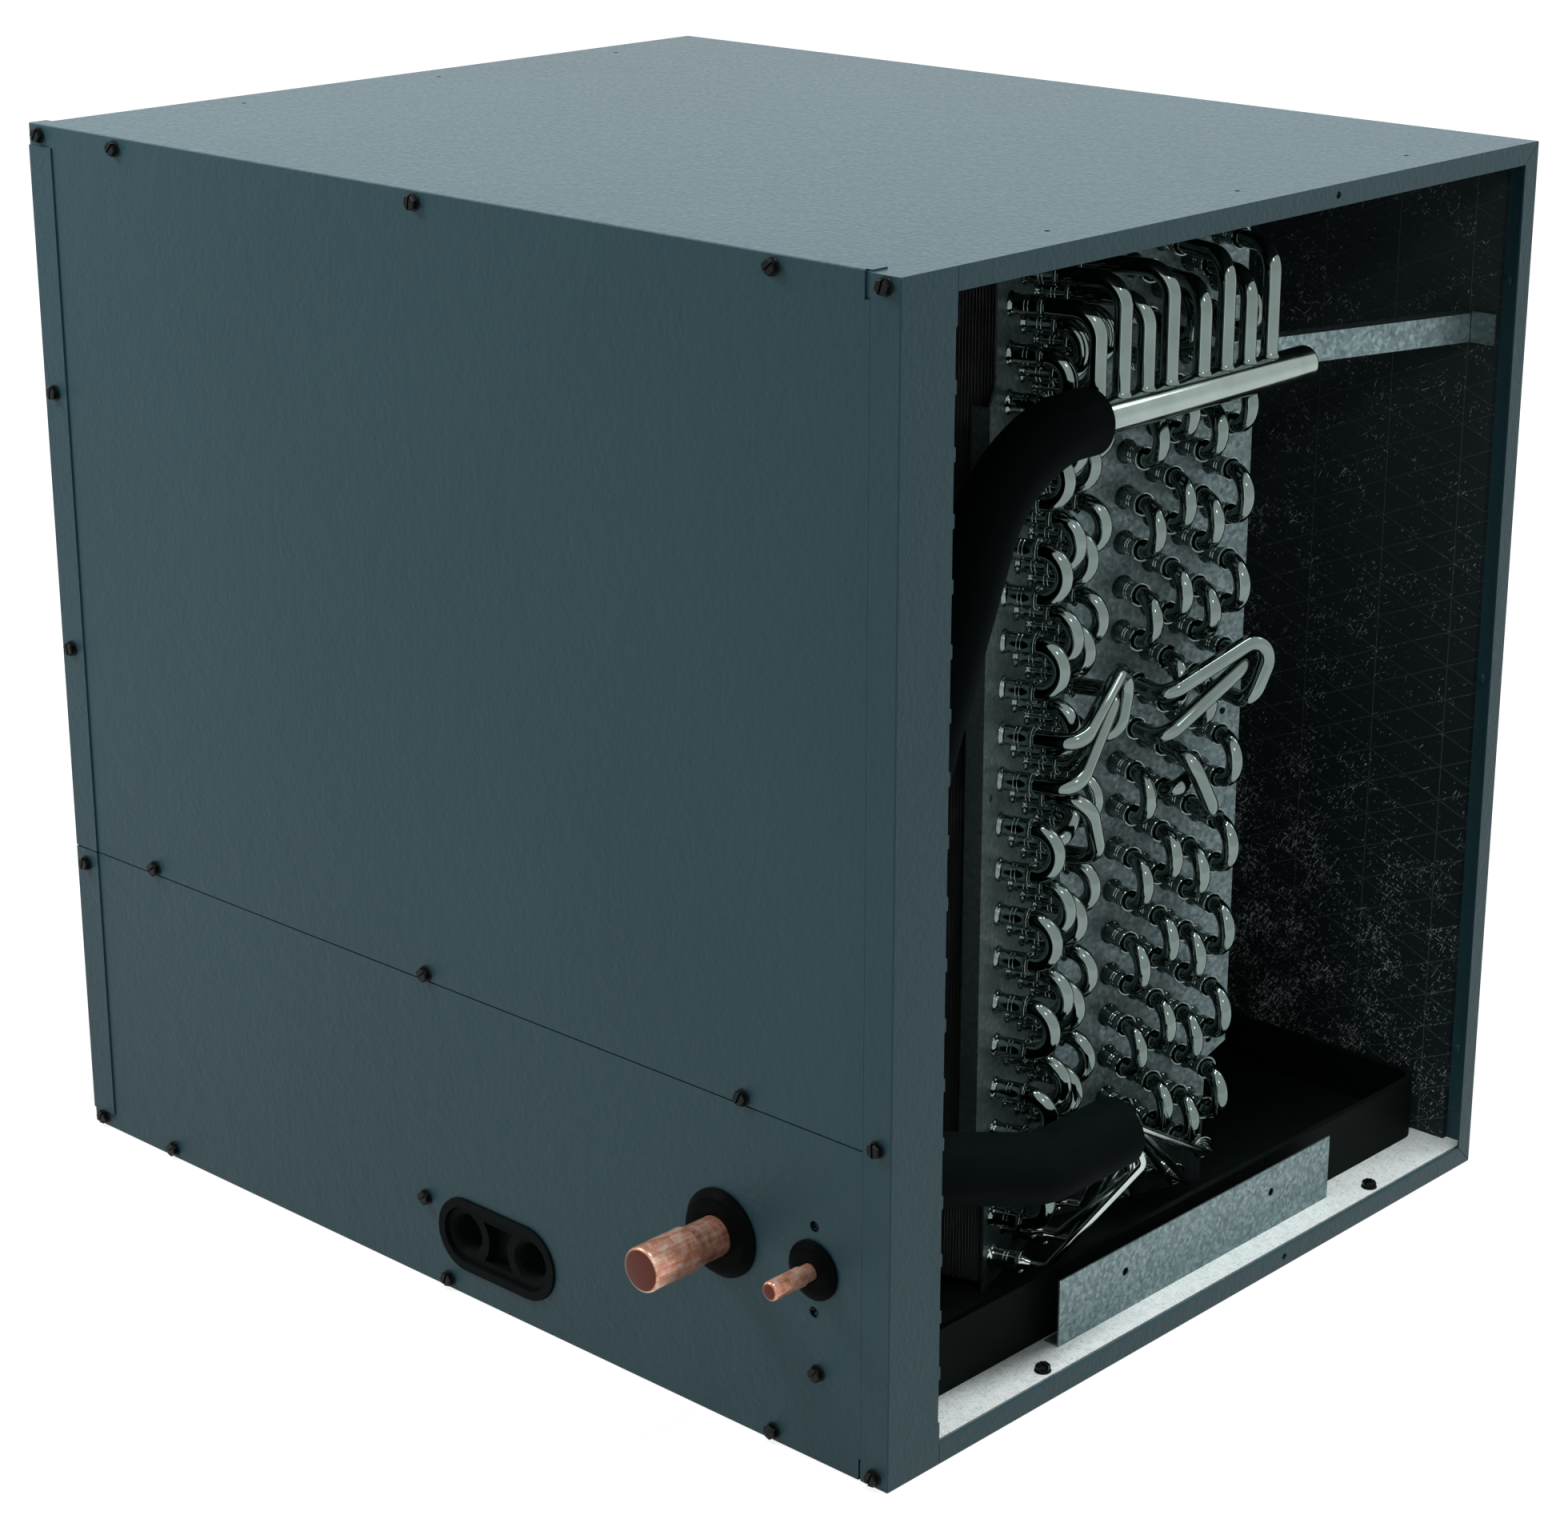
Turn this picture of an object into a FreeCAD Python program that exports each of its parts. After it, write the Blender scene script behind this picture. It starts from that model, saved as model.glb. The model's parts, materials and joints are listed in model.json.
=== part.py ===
import FreeCAD, Part
import math
import os

from FreeCAD import Vector as V

# Horizontal cased evaporator coil, millimetres.
# X runs along the air flow: +X is the end that shows the tube bends.
# -Y is the service side with the access panels, drains and copper stubs.
# The origin is the centre of the casing's underside.

# Casing sheet metal
case_length = 660.4
case_width = 536.6
case_height = 622.3
sheet = 1.0
fold_radius = 0.8
end_flange = 12.0
mitre_gap = 0.5
hem = 2.2
lip_height = 12.0
running_gap = 0.4
edge_gap = 0.15
post_side_leg = 40.0
post_front_leg = 18.4
post_backing = 18.0
post_tab_pitch = 32.0
post_tab_height = 7.0
post_tab_depth = 1.2
post_tab_margin = 24.0
strip_width = 19.2
strip_top_margin = 13.4
strip_bottom_margin = 10.7
seam_height = 184.0
seam_gap = 0.8
tongue_half = 10.0
return_depth = 12.0
relief_width = 3.3
relief_height = 14.0
slit_width = 1.2
slit_height = 12.0
pilot_hole_radius = 1.6
pilot_hole_inset = 25.2
pilot_hole_pitch = 154.0
pilot_hole_centre = 21.0
duct_hole_radius = 2.0
duct_hole_y = 75.3
duct_hole_inset = 6.0

# Fasteners
head_flats = 7.6
head_height = 4.0
slot_width = 1.3
slot_depth = 1.4
shank_radius = 1.9
shank_hole_radius = 2.1
shank_sides = 6
shank_length = 6.0
rivet_radius = 2.8
rivet_height = 1.2
rivet_sides = 10
rivet_inset = 12.7
rivet_bottom = 70.5
rivet_top_drop = 80.8
rivet_rows = 3

# Screw places on the service side
corner_screw_inset = 9.2
edge_screw_inset = 79.2
top_row_drop = 6.3
bottom_row_z = 5.6
seam_row_rise = 4.2
seam_left_inset = 77.2
seam_right_inset = 100.2
side_row_fall = 9.5
side_row_shares = (0.75, 0.5)
pan_row_z = 50.6
pan_screw_gap = 58.0
pan_screw_lead = 2.7

# Foil-faced liners
floor_liner = 10.0
wall_liner = 4.0
top_liner = 10.0
liner_end_inset = 16.0
floor_liner_inset = 4.4
front_clear = 6.3
panel_liner_margin = 45.0
panel_liner_inset = 3.0

# Drain pan
pan_end_clear = 33.2
pan_front_gap = 10.3
pan_back_gap = 1.3
pan_rim = 50.0
pan_wall = 4.0
pan_floor_top = 21.0
pan_floor = 3.0
pan_corner = 14.0
drain_centre_x = 40.6
drain_centre_z = 38.0
drain_half_length = 46.7
drain_end_radius = 21.8
drain_clear = 0.3
drain_proud = 1.5
drain_rim = 5.0
drain_recess = 2.5
drain_pocket = 9.0
drain_pocket_half = 12.0
port_spacing = 51.7
port_radius = 11.6
port_chamfer = 1.2
port_collar = 18.4
port_depth = 24.0
drain_slot = 8.0

# Pan bracket
bracket_inset = 21.0
bracket_y0 = -105.0
bracket_y1 = 147.0
bracket_height = 39.6
bracket_foot = 10.0
bracket_sheet = 1.0
bracket_hole_radius = 2.5
bracket_hole_y = (-47.0, 89.6)
bracket_hole_rise = 23.8

# Floor screws at both duct ends
floor_screw_inset = 10.7
floor_screw_y = (-131.0, 22.5, 176.0)

# Coil slabs: two upright slabs that close to an apex near the +X end
outlet_clear = 111.6
inlet_clear = 156.22
wall_clear = 30.34
tube_rows = 4
depth_pitch = 19.05
tube_pitch = 25.4
first_row = 35.85
coil_bottom = 25.4
coil_headroom = 25.4
fin_groups = 20
fin_group_depth = 2.0
end_sheet = 1.2
tube_radius = 4.76
tube_sides = 5
bend_turns = 3
hairpin_sides = 4
hairpin_turns = 3
bell_out = 18.4
bend_leg = 1.3
hairpin_leg = 2.0
sheet_mid = 119.0
sheet_low = 105.0
sheet_high = 112.0
sheet_low_z = 98.0
sheet_high_drop = 64.9
sheet_chamfer = 9.0
sheet_flange = 10.0
rear_sheet_lap = 4.0
sheet_top_gap = 6.3
sheet_hole_s = 107.0
sheet_hole_low = 109.7
sheet_hole_radius = 2.0
apex_gap = 0.2

# Suction side
header_inset = 38.2
header_drop = 80.4
header_radius = 9.525
header_open_end = 6.06
header_closed_end = 35.06
header_crown = 2.5
feeder_radius = 14.0
suction_inset = 115.5
suction_z = 107.2
suction_radius = 11.11
suction_turn = 65.0
suction_drop = 63.3
suction_bend = 70.0
elbow_turns = 3
stub_inside = 8.0
suction_sides = 12
foam_radius = 17.5
foam_clear = 0.3
foam_end = 6.0
suction_cap_out = 26.7
suction_cap_reach = 59.7
suction_cap_wall = 1.2
cap_floor = 1.5

# Liquid side
liquid_inset = 50.7
liquid_z = 108.3
liquid_radius = 4.76
liquid_cap_out = 10.2
liquid_cap_reach = 33.9
liquid_cap_wall = 0.6
liquid_straight = 16.0
liquid_bend = 12.0
liquid_sides = 8
meter_inset = 26.2
meter_rise = 11.7
meter_y0 = -112.0
meter_y1 = -70.0
meter_radius = 9.0
meter_waist = 2.5
meter_nut = 12.0
distributor_length = 14.0
distributor_radius = 11.0
sleeve_radius = 19.5
sleeve_sides = 12
sleeve_end = 3.0
sleeve_top_inset = 42.2
sleeve_top_gap = 56.3
sleeve_top_rise = 38.7
sleeve_turn_y = -118.0
sleeve_bend = 60.0
sleeve_lead = 0.1
capillary_radius = 2.2
capillary_lead = 10.0
capillary_inset = 3.6
capillary_step = 2.0
capillary_drop = 14.0
capillary_fan = 6.0
capillary_bend = 5.0
capillary_out = 14.0
crossover_out = 42.6
crossover_bend = 11.0
cross_tube = 9
loop_out = 44.0
loop_corner_u = 21.0
loop_corner_z = 45.0
jumper_out = 42.6
short_out = 28.0
short_bend = 8.0
tube_turns = 2

# Grommets
suction_hole = 20.0
suction_flange = 24.5
suction_nose = 21.5
suction_nose_out = 6.0
grommet_lip = 1.2
liquid_hole = 12.5
liquid_flange = 16.3
liquid_nose = 14.0
liquid_nose_out = 4.0
grommet_flange = 2.0
grommet_fit = 0.25
grommet_gap = 0.1
grommet_step = 1.0
tube_fit = 0.3
service_hole_radius = 3.1
service_hole_rise = 24.0

# Brace between the rear-side slab and the back wall
brace_drop = 75.9
brace_leg = 16.5
brace_top = 11.0
brace_sheet = 1.2
brace_back = 4.8
brace_gap = 0.2
brace_tab = 14.0

# Baffles and seals
baffle_sheet = 1.0
baffle_foot = 16.0
baffle_lap = 6.0
baffle_lift = 1.0
seal_gap = 0.3

# Construction
edge_tolerance = 0.01
cut_past = 1.0
steep = 0.9

# Derived places
half_l = case_length / 2
half_w = case_width / 2
top_z = case_height - sheet
wrap_front = -half_w + sheet
lip_back = wrap_front + sheet
post_seam = half_l - post_front_leg
strip_edge = -half_l + strip_width
strip_top_z = case_height - strip_top_margin
floor_z = sheet + floor_liner
ceiling_z = top_z - sheet - top_liner
back_face = half_w - sheet - wall_liner
panel_liner_face = lip_back + wall_liner
pan_half_length = half_l - pan_end_clear
boss_x0 = drain_centre_x - drain_half_length
boss_x1 = drain_centre_x + drain_half_length
bracket_face_x = half_l - bracket_inset
floor_screw_x = half_l - floor_screw_inset

# Tubes fill the height in pairs, since each hairpin makes two
tubes_per_row = 2 * int((case_height - coil_bottom - coil_headroom) / (2 * tube_pitch))
coil_top = coil_bottom + (tubes_per_row + 0.5) * tube_pitch
coil_middle = (coil_bottom + coil_top) / 2
sheet_high_z = coil_top - sheet_high_drop
sheet_top = ceiling_z - sheet_top_gap
sheet_hole_z = (sheet_hole_low, coil_middle)
brace_z = coil_top - brace_drop

# Each slab reaches from the apex to a corner near the inlet end and the side wall
apex_x = half_l - outlet_clear
corner_x = apex_x + half_l - inlet_clear
corner_y = half_w - wall_clear
slab_length = math.sqrt(corner_x ** 2 + corner_y ** 2 - sheet_low ** 2)
turn = math.atan2(corner_y, corner_x) - math.atan2(sheet_low, slab_length)
slab_angle = math.degrees(turn)
fin_length = slab_length - 2 * end_sheet
rear_d = -slab_length
pack_s0 = first_row - depth_pitch / 2
pack_s1 = pack_s0 + tube_rows * depth_pitch

header_x = half_l - header_inset
header_z = coil_top - header_drop
suction_x = half_l - suction_inset
suction_cap_start = -half_w - suction_cap_out
suction_cap_end = -half_w - suction_cap_reach
liquid_x = half_l - liquid_inset
liquid_cap_start = -half_w - liquid_cap_out
liquid_cap_end = -half_w - liquid_cap_reach
meter_x = half_l - meter_inset
meter_z = liquid_z + meter_rise

corner_screw_x = half_l - corner_screw_inset
edge_screw_x = half_l - edge_screw_inset
seam_left_x = -half_l + seam_left_inset
seam_right_x = half_l - seam_right_inset
row_x = (-corner_screw_x, -edge_screw_x, 0.0, edge_screw_x, corner_screw_x)
top_row = [(x, case_height - top_row_drop) for x in row_x]
bottom_row = [(x, bottom_row_z) for x in row_x]
seam_row = [(x, seam_height + seam_row_rise)
            for x in (seam_left_x, (seam_left_x + seam_right_x) / 2, seam_right_x, corner_screw_x)]
side_row = [(-corner_screw_x, share * case_height) for share in side_row_shares]
side_row.append((-corner_screw_x, seam_height - side_row_fall))
pan_row = [(drain_centre_x - pan_screw_gap, pan_row_z), (liquid_x + pan_screw_lead, pan_row_z)]


def box(x0, x1, y0, y1, z0, z1):
    return Part.makeBox(x1 - x0, y1 - y0, z1 - z0, V(x0, y0, z0))


def cylinder_x(y, z, radius, x0, x1):
    return Part.makeCylinder(radius, x1 - x0, V(x0, y, z), V(1, 0, 0))


def cylinder_y(x, z, radius, y0, y1):
    return Part.makeCylinder(radius, y1 - y0, V(x, y0, z), V(0, 1, 0))


def cylinder_z(x, y, radius, z0, z1):
    return Part.makeCylinder(radius, z1 - z0, V(x, y, z0), V(0, 0, 1))


def prism_y(x, z, radius, sides, y0, y1):
    """Round peg or hole with flat sides, along Y."""
    points = []
    for i in range(sides):
        a = 2 * math.pi * (i + 0.5) / sides
        points.append(V(x + radius * math.cos(a), y0, z + radius * math.sin(a)))
    return Part.Face(Part.makePolygon(points + points[:1])).extrude(V(0, y1 - y0, 0))


def plate_x(outline, x0, x1):
    """Prism from an outline of (y, z) points, between two X planes."""
    points = [V(x0, y, z) for y, z in outline]
    face = Part.Face(Part.makePolygon(points + points[:1]))
    return face.extrude(V(x1 - x0, 0, 0))


def plate_z(outline, z0, z1):
    """Prism from an outline of (x, y) points, between two Z planes."""
    points = [V(x, y, z0) for x, y in outline]
    face = Part.Face(Part.makePolygon(points + points[:1]))
    return face.extrude(V(0, 0, z1 - z0))


def stadium_y(x, z, half_length, radius, y0, y1):
    """Long round-ended prism along Y, lying along X."""
    reach = half_length - radius
    middle = box(x - reach, x + reach, y0, y1, z - radius, z + radius)
    ends = [cylinder_y(x + side * reach, z, radius, y0, y1) for side in (-1, 1)]
    return middle.fuse(ends).removeSplitter()


def fuse_all(solids):
    return solids[0].fuse(solids[1:]).removeSplitter()


def rounded(shape, radius, wanted):
    """Fillet the edges whose bounding box is wanted."""
    edges = [e for e in shape.Edges if wanted(e.BoundBox)]
    return shape.makeFillet(radius, edges)


def bevelled(shape, width, wanted):
    """Chamfer the edges whose bounding box is wanted."""
    edges = [e for e in shape.Edges if wanted(e.BoundBox)]
    return shape.makeChamfer(width, edges)


def mitre_tube(path, radius, sides):
    """Tube solid of flat facets along a path, mitred at each corner."""
    points = [V(*p) for p in path]
    runs = [(b - a).normalize() for a, b in zip(points, points[1:])]
    seed = V(0, 0, 1) if abs(runs[0].z) < steep else V(1, 0, 0)
    across = runs[0].cross(seed).normalize()
    up = across.cross(runs[0]).normalize()
    angles = [2 * math.pi * (i + 0.5) / sides for i in range(sides)]
    ring = [points[0] + across * (radius * math.cos(a)) + up * (radius * math.sin(a)) for a in angles]
    rings = [ring]
    for i, run in enumerate(runs):
        last = i == len(runs) - 1
        normal = run if last else run + runs[i + 1]
        end = points[i + 1]
        ring = [p + run * ((end - p).dot(normal) / run.dot(normal)) for p in ring]
        rings.append(ring)
    faces = [Part.Face(Part.makePolygon(r + r[:1])) for r in (rings[0], rings[-1])]
    for a, b in zip(rings, rings[1:]):
        for i in range(sides):
            j = (i + 1) % sides
            faces.append(Part.Face(Part.makePolygon([a[i], a[j], b[j], b[i], a[i]])))
    shell = Part.makeShell(faces)
    shell.sewShape()
    solid = Part.makeSolid(shell)
    if solid.Volume < 0:
        solid.reverse()
    return solid


def softened(path, radius, turns):
    """Path with each inner corner replaced by short chords around an arc of the radius."""
    points = [V(*p) for p in path]
    result = [points[0]]
    for before, corner, after in zip(points, points[1:], points[2:]):
        start = (before - corner).normalize()
        end = (after - corner).normalize()
        angle = math.pi - math.acos(max(-1.0, min(1.0, start.dot(end))))
        reach = radius * math.tan(angle / 2)
        step = angle / turns
        centre = corner + (start + end).normalize() * (radius / math.cos(angle / 2))
        first = (corner + start * reach - centre).normalize()
        for i in range(turns):
            a = step * (i + 0.5)
            spoke = first * math.cos(a) - start * math.sin(a)
            result.append(centre + spoke * (radius / math.cos(step / 2)))
    result.append(points[-1])
    return [(p.x, p.y, p.z) for p in result]


# Casing

def screw_holes(places):
    """Clearance holes through everything on the service side at (x, z) places."""
    return [prism_y(x, z, shank_hole_radius, shank_sides, -half_w - 2 * sheet, lip_back + sheet)
            for x, z in places]


def wrapper_flanges(side):
    """Duct flanges of one end: top and back of one sheet thickness, bottom hemmed."""
    start = -half_w + post_side_leg + running_gap
    inner = half_w - end_flange
    slip = mitre_gap / 2
    outer_x = side * half_l
    inner_x = side * (half_l - sheet)
    hem_x = side * (half_l - hem)
    low = top_z - end_flange
    top = [(start, top_z), (half_w - slip, top_z), (inner - slip, low), (start, low)]
    bottom = [(start, 0), (half_w - slip, 0), (inner - slip, end_flange), (start, end_flange)]
    back = [(half_w, slip), (inner, end_flange + slip), (inner, low - slip), (half_w, top_z - slip)]
    hemmed = plate_x(bottom, hem_x, outer_x)
    hemmed = rounded(hemmed, fold_radius,
                     lambda b: b.YLength > end_flange and b.ZMin > end_flange - edge_tolerance)
    return [plate_x(top, inner_x, outer_x), hemmed, plate_x(back, inner_x, outer_x)]


def casing_wrapper():
    """Top, back and bottom folded from one sheet, with duct flanges and front lips."""
    lip_x = half_l - sheet - running_gap
    parts = [
        box(-half_l, half_l, wrap_front, half_w, top_z - sheet, top_z),
        box(-half_l, half_l, half_w - sheet, half_w, 0, top_z),
        box(-half_l, half_l, wrap_front, half_w, 0, sheet),
        box(-lip_x, lip_x, wrap_front, lip_back, top_z - lip_height, top_z),
        box(-lip_x, lip_x, wrap_front, lip_back, 0, lip_height),
        box(post_seam, half_l, -half_w, wrap_front, top_z - sheet, top_z)]
    for side in (-1, 1):
        parts += wrapper_flanges(side)
    body = fuse_all(parts)
    body = rounded(body, fold_radius,
                   lambda b: b.XLength > case_length - cut_past and b.YMin > half_w - edge_tolerance
                   and (b.ZMax < edge_tolerance or b.ZMin > top_z - edge_tolerance))
    holes = []
    for end in (-1, 1):
        for step in (-1, 0, 1):
            x = end * (half_l - pilot_hole_inset)
            y = pilot_hole_centre + step * pilot_hole_pitch
            holes.append(cylinder_z(x, y, pilot_hole_radius, top_z - 2 * sheet, top_z + sheet))
    for z in (duct_hole_inset, top_z - duct_hole_inset):
        holes.append(cylinder_x(duct_hole_y, z, duct_hole_radius, half_l - 2 * hem, half_l + hem))
    return body.cut(holes + screw_holes(top_row + bottom_row))


def outlet_corner_post():
    """Corner post of the +X end: wide side leg, flush front leg and joggled backing leg."""
    top = top_z - sheet
    side_leg = box(half_l - sheet, half_l, -half_w, -half_w + post_side_leg, sheet, top)
    front_leg = box(post_seam, half_l, -half_w, wrap_front, 0, top)
    backing = box(post_seam - post_backing, post_seam + sheet, wrap_front, lip_back,
                  lip_height + running_gap, top_z - lip_height - running_gap)
    post = fuse_all([side_leg, front_leg, backing])
    post = rounded(post, fold_radius,
                   lambda b: b.XMin > half_l - edge_tolerance and b.YMax < -half_w + edge_tolerance)
    recess = post_tab_pitch - post_tab_height
    cuts = []
    z = post_tab_margin
    while z + recess < top - post_tab_margin:
        y = -half_w + post_side_leg - post_tab_depth
        cuts.append(box(half_l - 2 * sheet, half_l + sheet, y, y + 2 * post_tab_depth, z, z + recess))
        z += post_tab_pitch
    return post.cut(cuts + screw_holes([top_row[-1], seam_row[-1], bottom_row[-1]]))


def inlet_corner_post():
    """Corner post of the -X end, whose front leg lies under the panels' raised strip."""
    side_leg = box(-half_l, -half_l + sheet, wrap_front, -half_w + post_side_leg, sheet, top_z - sheet)
    front_leg = box(-half_l, strip_edge - running_gap, -half_w, wrap_front,
                    strip_bottom_margin + running_gap, strip_top_z - running_gap)
    post = fuse_all([side_leg, front_leg])
    return post.cut(screw_holes(side_row))


def upper_access_panel():
    """Large front panel: joggled left strip, top return over the wrapper, relief at the corner."""
    edge = post_seam - edge_gap
    low = seam_height + seam_gap / 2
    plate = box(-half_l, edge, -half_w, wrap_front, low, case_height)
    behind = box(-half_l - sheet, strip_edge, -half_w - sheet, wrap_front + sheet,
                 low - sheet, strip_top_z)
    strip = box(-half_l, strip_edge + sheet, -half_w - sheet, -half_w, low, strip_top_z + sheet)
    top_return = box(-half_l, edge, -half_w, -half_w + return_depth, top_z, case_height)
    panel = fuse_all([plate.cut(behind), strip, top_return])
    panel = rounded(panel, fold_radius,
                    lambda b: b.XLength > case_length / 2 and b.ZMin > case_height - edge_tolerance
                    and b.YMax < -half_w + edge_tolerance)
    relief = box(edge - relief_width, edge + sheet, -half_w - sheet, wrap_front + sheet,
                 case_height - relief_height, case_height + sheet)
    return panel.cut([relief] + screw_holes(top_row[:4] + side_row[:2] + seam_row[:3]))


def lower_access_panel():
    """Small front panel with the drain cut-out, the grommet holes and a slit at its lower corner."""
    edge = post_seam - edge_gap
    high = seam_height - seam_gap / 2
    plate = box(-half_l, edge, -half_w, wrap_front, 0, high)
    behind = box(-half_l - sheet, strip_edge, -half_w - sheet, wrap_front + sheet,
                 strip_bottom_margin, high + sheet)
    strip = box(-half_l, strip_edge + sheet, -half_w - sheet, -half_w, strip_bottom_margin - sheet, high)
    tongue = box(strip_edge + sheet, edge - post_backing - sheet, wrap_front, lip_back,
                 high - tongue_half, high + tongue_half)
    panel = fuse_all([plate.cut(behind), strip, tongue])
    drain = stadium_y(drain_centre_x, drain_centre_z, drain_half_length + drain_clear,
                      drain_end_radius + drain_clear, -half_w - sheet, lip_back)
    cuts = [drain,
            cylinder_y(suction_x, suction_z, suction_hole, -half_w - sheet, lip_back),
            cylinder_y(liquid_x, liquid_z, liquid_hole, -half_w - sheet, lip_back)]
    for side in (-1, 1):
        z = liquid_z + side * service_hole_rise
        cuts.append(cylinder_y(liquid_x, z, service_hole_radius, -half_w - sheet, lip_back))
    cuts.append(box(edge - slit_width, edge + sheet, -half_w - sheet, wrap_front + sheet,
                    -sheet, slit_height))
    return panel.cut(cuts + screw_holes(bottom_row[:4] + side_row[2:] + pan_row + seam_row[:3]))


# Liners

def back_liner():
    end = half_l - liner_end_inset
    return box(-end, end, back_face, half_w - sheet, floor_z, ceiling_z)


def ceiling_liner():
    end = half_l - floor_liner_inset
    return box(-end, end, lip_back + front_clear, half_w - sheet, ceiling_z, top_z - sheet)


def floor_liner_sheet():
    end = half_l - floor_liner_inset
    return box(-end, end, lip_back + front_clear, half_w - sheet, sheet, floor_z)


def panel_liner():
    """Liner glued behind the upper access panel."""
    low = seam_height + tongue_half + running_gap
    high = top_z - lip_height - panel_liner_inset
    end = half_l - panel_liner_margin
    return box(-end, end, lip_back, panel_liner_face, low, high)


def lower_panel_liner():
    """Liner behind the lower access panel, cut out around both grommets."""
    low = drain_centre_z + drain_end_radius + drain_clear + running_gap
    high = seam_height - tongue_half - running_gap
    right = post_seam - post_backing - panel_liner_inset
    sheet_box = box(-half_l + panel_liner_margin, right, lip_back, panel_liner_face, low, high)
    around = grommet_lip + running_gap
    return sheet_box.cut([
        cylinder_y(suction_x, suction_z, suction_hole + around, wrap_front, panel_liner_face + cut_past),
        cylinder_y(liquid_x, liquid_z, liquid_hole + around, wrap_front, panel_liner_face + cut_past)])


# Drain pan

def rounded_tray(inset, z0, z1):
    x1 = pan_half_length - inset
    y0 = -half_w + pan_front_gap + inset
    y1 = back_face - pan_back_gap - inset
    body = box(-x1, x1, y0, y1, z0, z1)
    return rounded(body, pan_corner - inset, lambda b: b.ZLength > z1 - z0 - edge_tolerance)


def drain_pan():
    """Moulded tray on a skirt, laid out as a floor, straight walls and rounded corners, face to face."""
    ring = rounded_tray(0, floor_z, pan_rim)
    ring = ring.cut(rounded_tray(pan_wall, floor_z - cut_past, pan_rim + cut_past))
    ring = ring.cut(box(boss_x0, boss_x1, -half_w, 0, 0, case_height))
    x1 = pan_half_length - pan_corner
    y0 = -half_w + pan_front_gap + pan_corner
    y1 = back_face - pan_back_gap - pan_corner
    x_cuts = (-half_l, -x1, x1, half_l)
    y_cuts = (-half_w, y0, y1, half_w)
    solids = rounded_tray(pan_wall, pan_floor_top - pan_floor, pan_floor_top).Solids
    for left, right in zip(x_cuts, x_cuts[1:]):
        for front, back in zip(y_cuts, y_cuts[1:]):
            solids += ring.common(box(left, right, front, back, 0, case_height)).Solids
    return Part.makeCompound(solids)


def drain_boss():
    """Part of the pan's front wall with the two-port boss that passes through the front panel."""
    outer = -half_w - drain_proud
    wall = -half_w + pan_front_gap
    boss = stadium_y(drain_centre_x, drain_centre_z, drain_half_length, drain_end_radius, outer, wall)
    boss = boss.cut(box(-half_l, half_l, outer - cut_past, wall + cut_past, 0, floor_z + cut_past))
    body = boss.fuse(box(boss_x0, boss_x1, wall, wall + pan_wall, floor_z, pan_rim))
    recess = stadium_y(drain_centre_x, drain_centre_z, drain_half_length - drain_rim,
                       drain_end_radius - drain_rim, outer - cut_past, outer + drain_recess)
    ports = [drain_centre_x + side * port_spacing / 2 for side in (-1, 1)]
    pocket = box(ports[0], ports[1], outer, outer + drain_pocket,
                 drain_centre_z - drain_pocket_half, drain_centre_z + drain_pocket_half)
    collars = [cylinder_y(x, drain_centre_z, port_collar, outer, outer + drain_pocket) for x in ports]
    cuts = [recess, pocket.cut(collars)]
    for x in ports:
        cuts.append(cylinder_y(x, drain_centre_z, port_radius, outer, outer + port_depth))
        cuts.append(Part.makeCone(port_radius + port_chamfer, port_radius, port_chamfer,
                                  V(x, outer + drain_recess, drain_centre_z), V(0, 1, 0)))
        cuts.append(box(x - drain_slot / 2, x + drain_slot / 2, wall - pan_wall, wall + pan_wall + cut_past,
                        pan_floor_top, drain_centre_z))
    return body.removeSplitter().cut(cuts).removeSplitter()


def pan_bracket():
    """Galvanised angle that stands on the floor in front of the pan."""
    face = box(bracket_face_x - bracket_sheet, bracket_face_x, bracket_y0, bracket_y1,
               floor_z, floor_z + bracket_height)
    foot = box(bracket_face_x - bracket_foot, bracket_face_x, bracket_y0, bracket_y1,
               floor_z, floor_z + bracket_sheet)
    z = floor_z + bracket_hole_rise
    start = bracket_face_x - 2 * bracket_sheet
    holes = [cylinder_x(y, z, bracket_hole_radius, start, bracket_face_x + bracket_sheet)
             for y in bracket_hole_y]
    return face.fuse(foot).removeSplitter().cut(holes)


# Coil slabs

def on_slab(shape, side):
    """Move a shape from the slab's own frame to its place: side 1 is the back slab, -1 the front."""
    placed = shape.copy()
    placed.rotate(V(0, 0, 0), V(0, 0, 1), -side * slab_angle)
    placed.translate(V(apex_x, 0, 0))
    return placed


def slab_point(side, d, y, z):
    c = math.cos(turn)
    s = math.sin(turn) * side
    return (apex_x + d * c + y * s, y * c - d * s, z)


def row_y(side, row):
    """Place of a tube row across the slab, counted from the service side."""
    first = first_row if side > 0 else -(first_row + (tube_rows - 1) * depth_pitch)
    return first + row * depth_pitch


def tube_z(row, k):
    drop = tube_pitch if row % 2 == 0 else tube_pitch / 2
    return coil_top - drop - k * tube_pitch


def fin_pack(side):
    """Block of fins, with both faces cut into upright groups of fins."""
    step = fin_length / fin_groups
    inner = pack_s0 + fin_group_depth
    outer = pack_s1 - fin_group_depth
    near = []
    far = []
    for i in range(fin_groups):
        d = -end_sheet - step * i
        near += [(d, pack_s0), (d - step / 2, pack_s0), (d - step / 2, inner), (d - step, inner)]
        far += [(d, pack_s1), (d - step / 2, pack_s1), (d - step / 2, outer), (d - step, outer)]
    outline = [(d, side * s) for d, s in near + far[::-1]]
    return on_slab(plate_z(outline, coil_bottom, coil_top), side)


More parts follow.
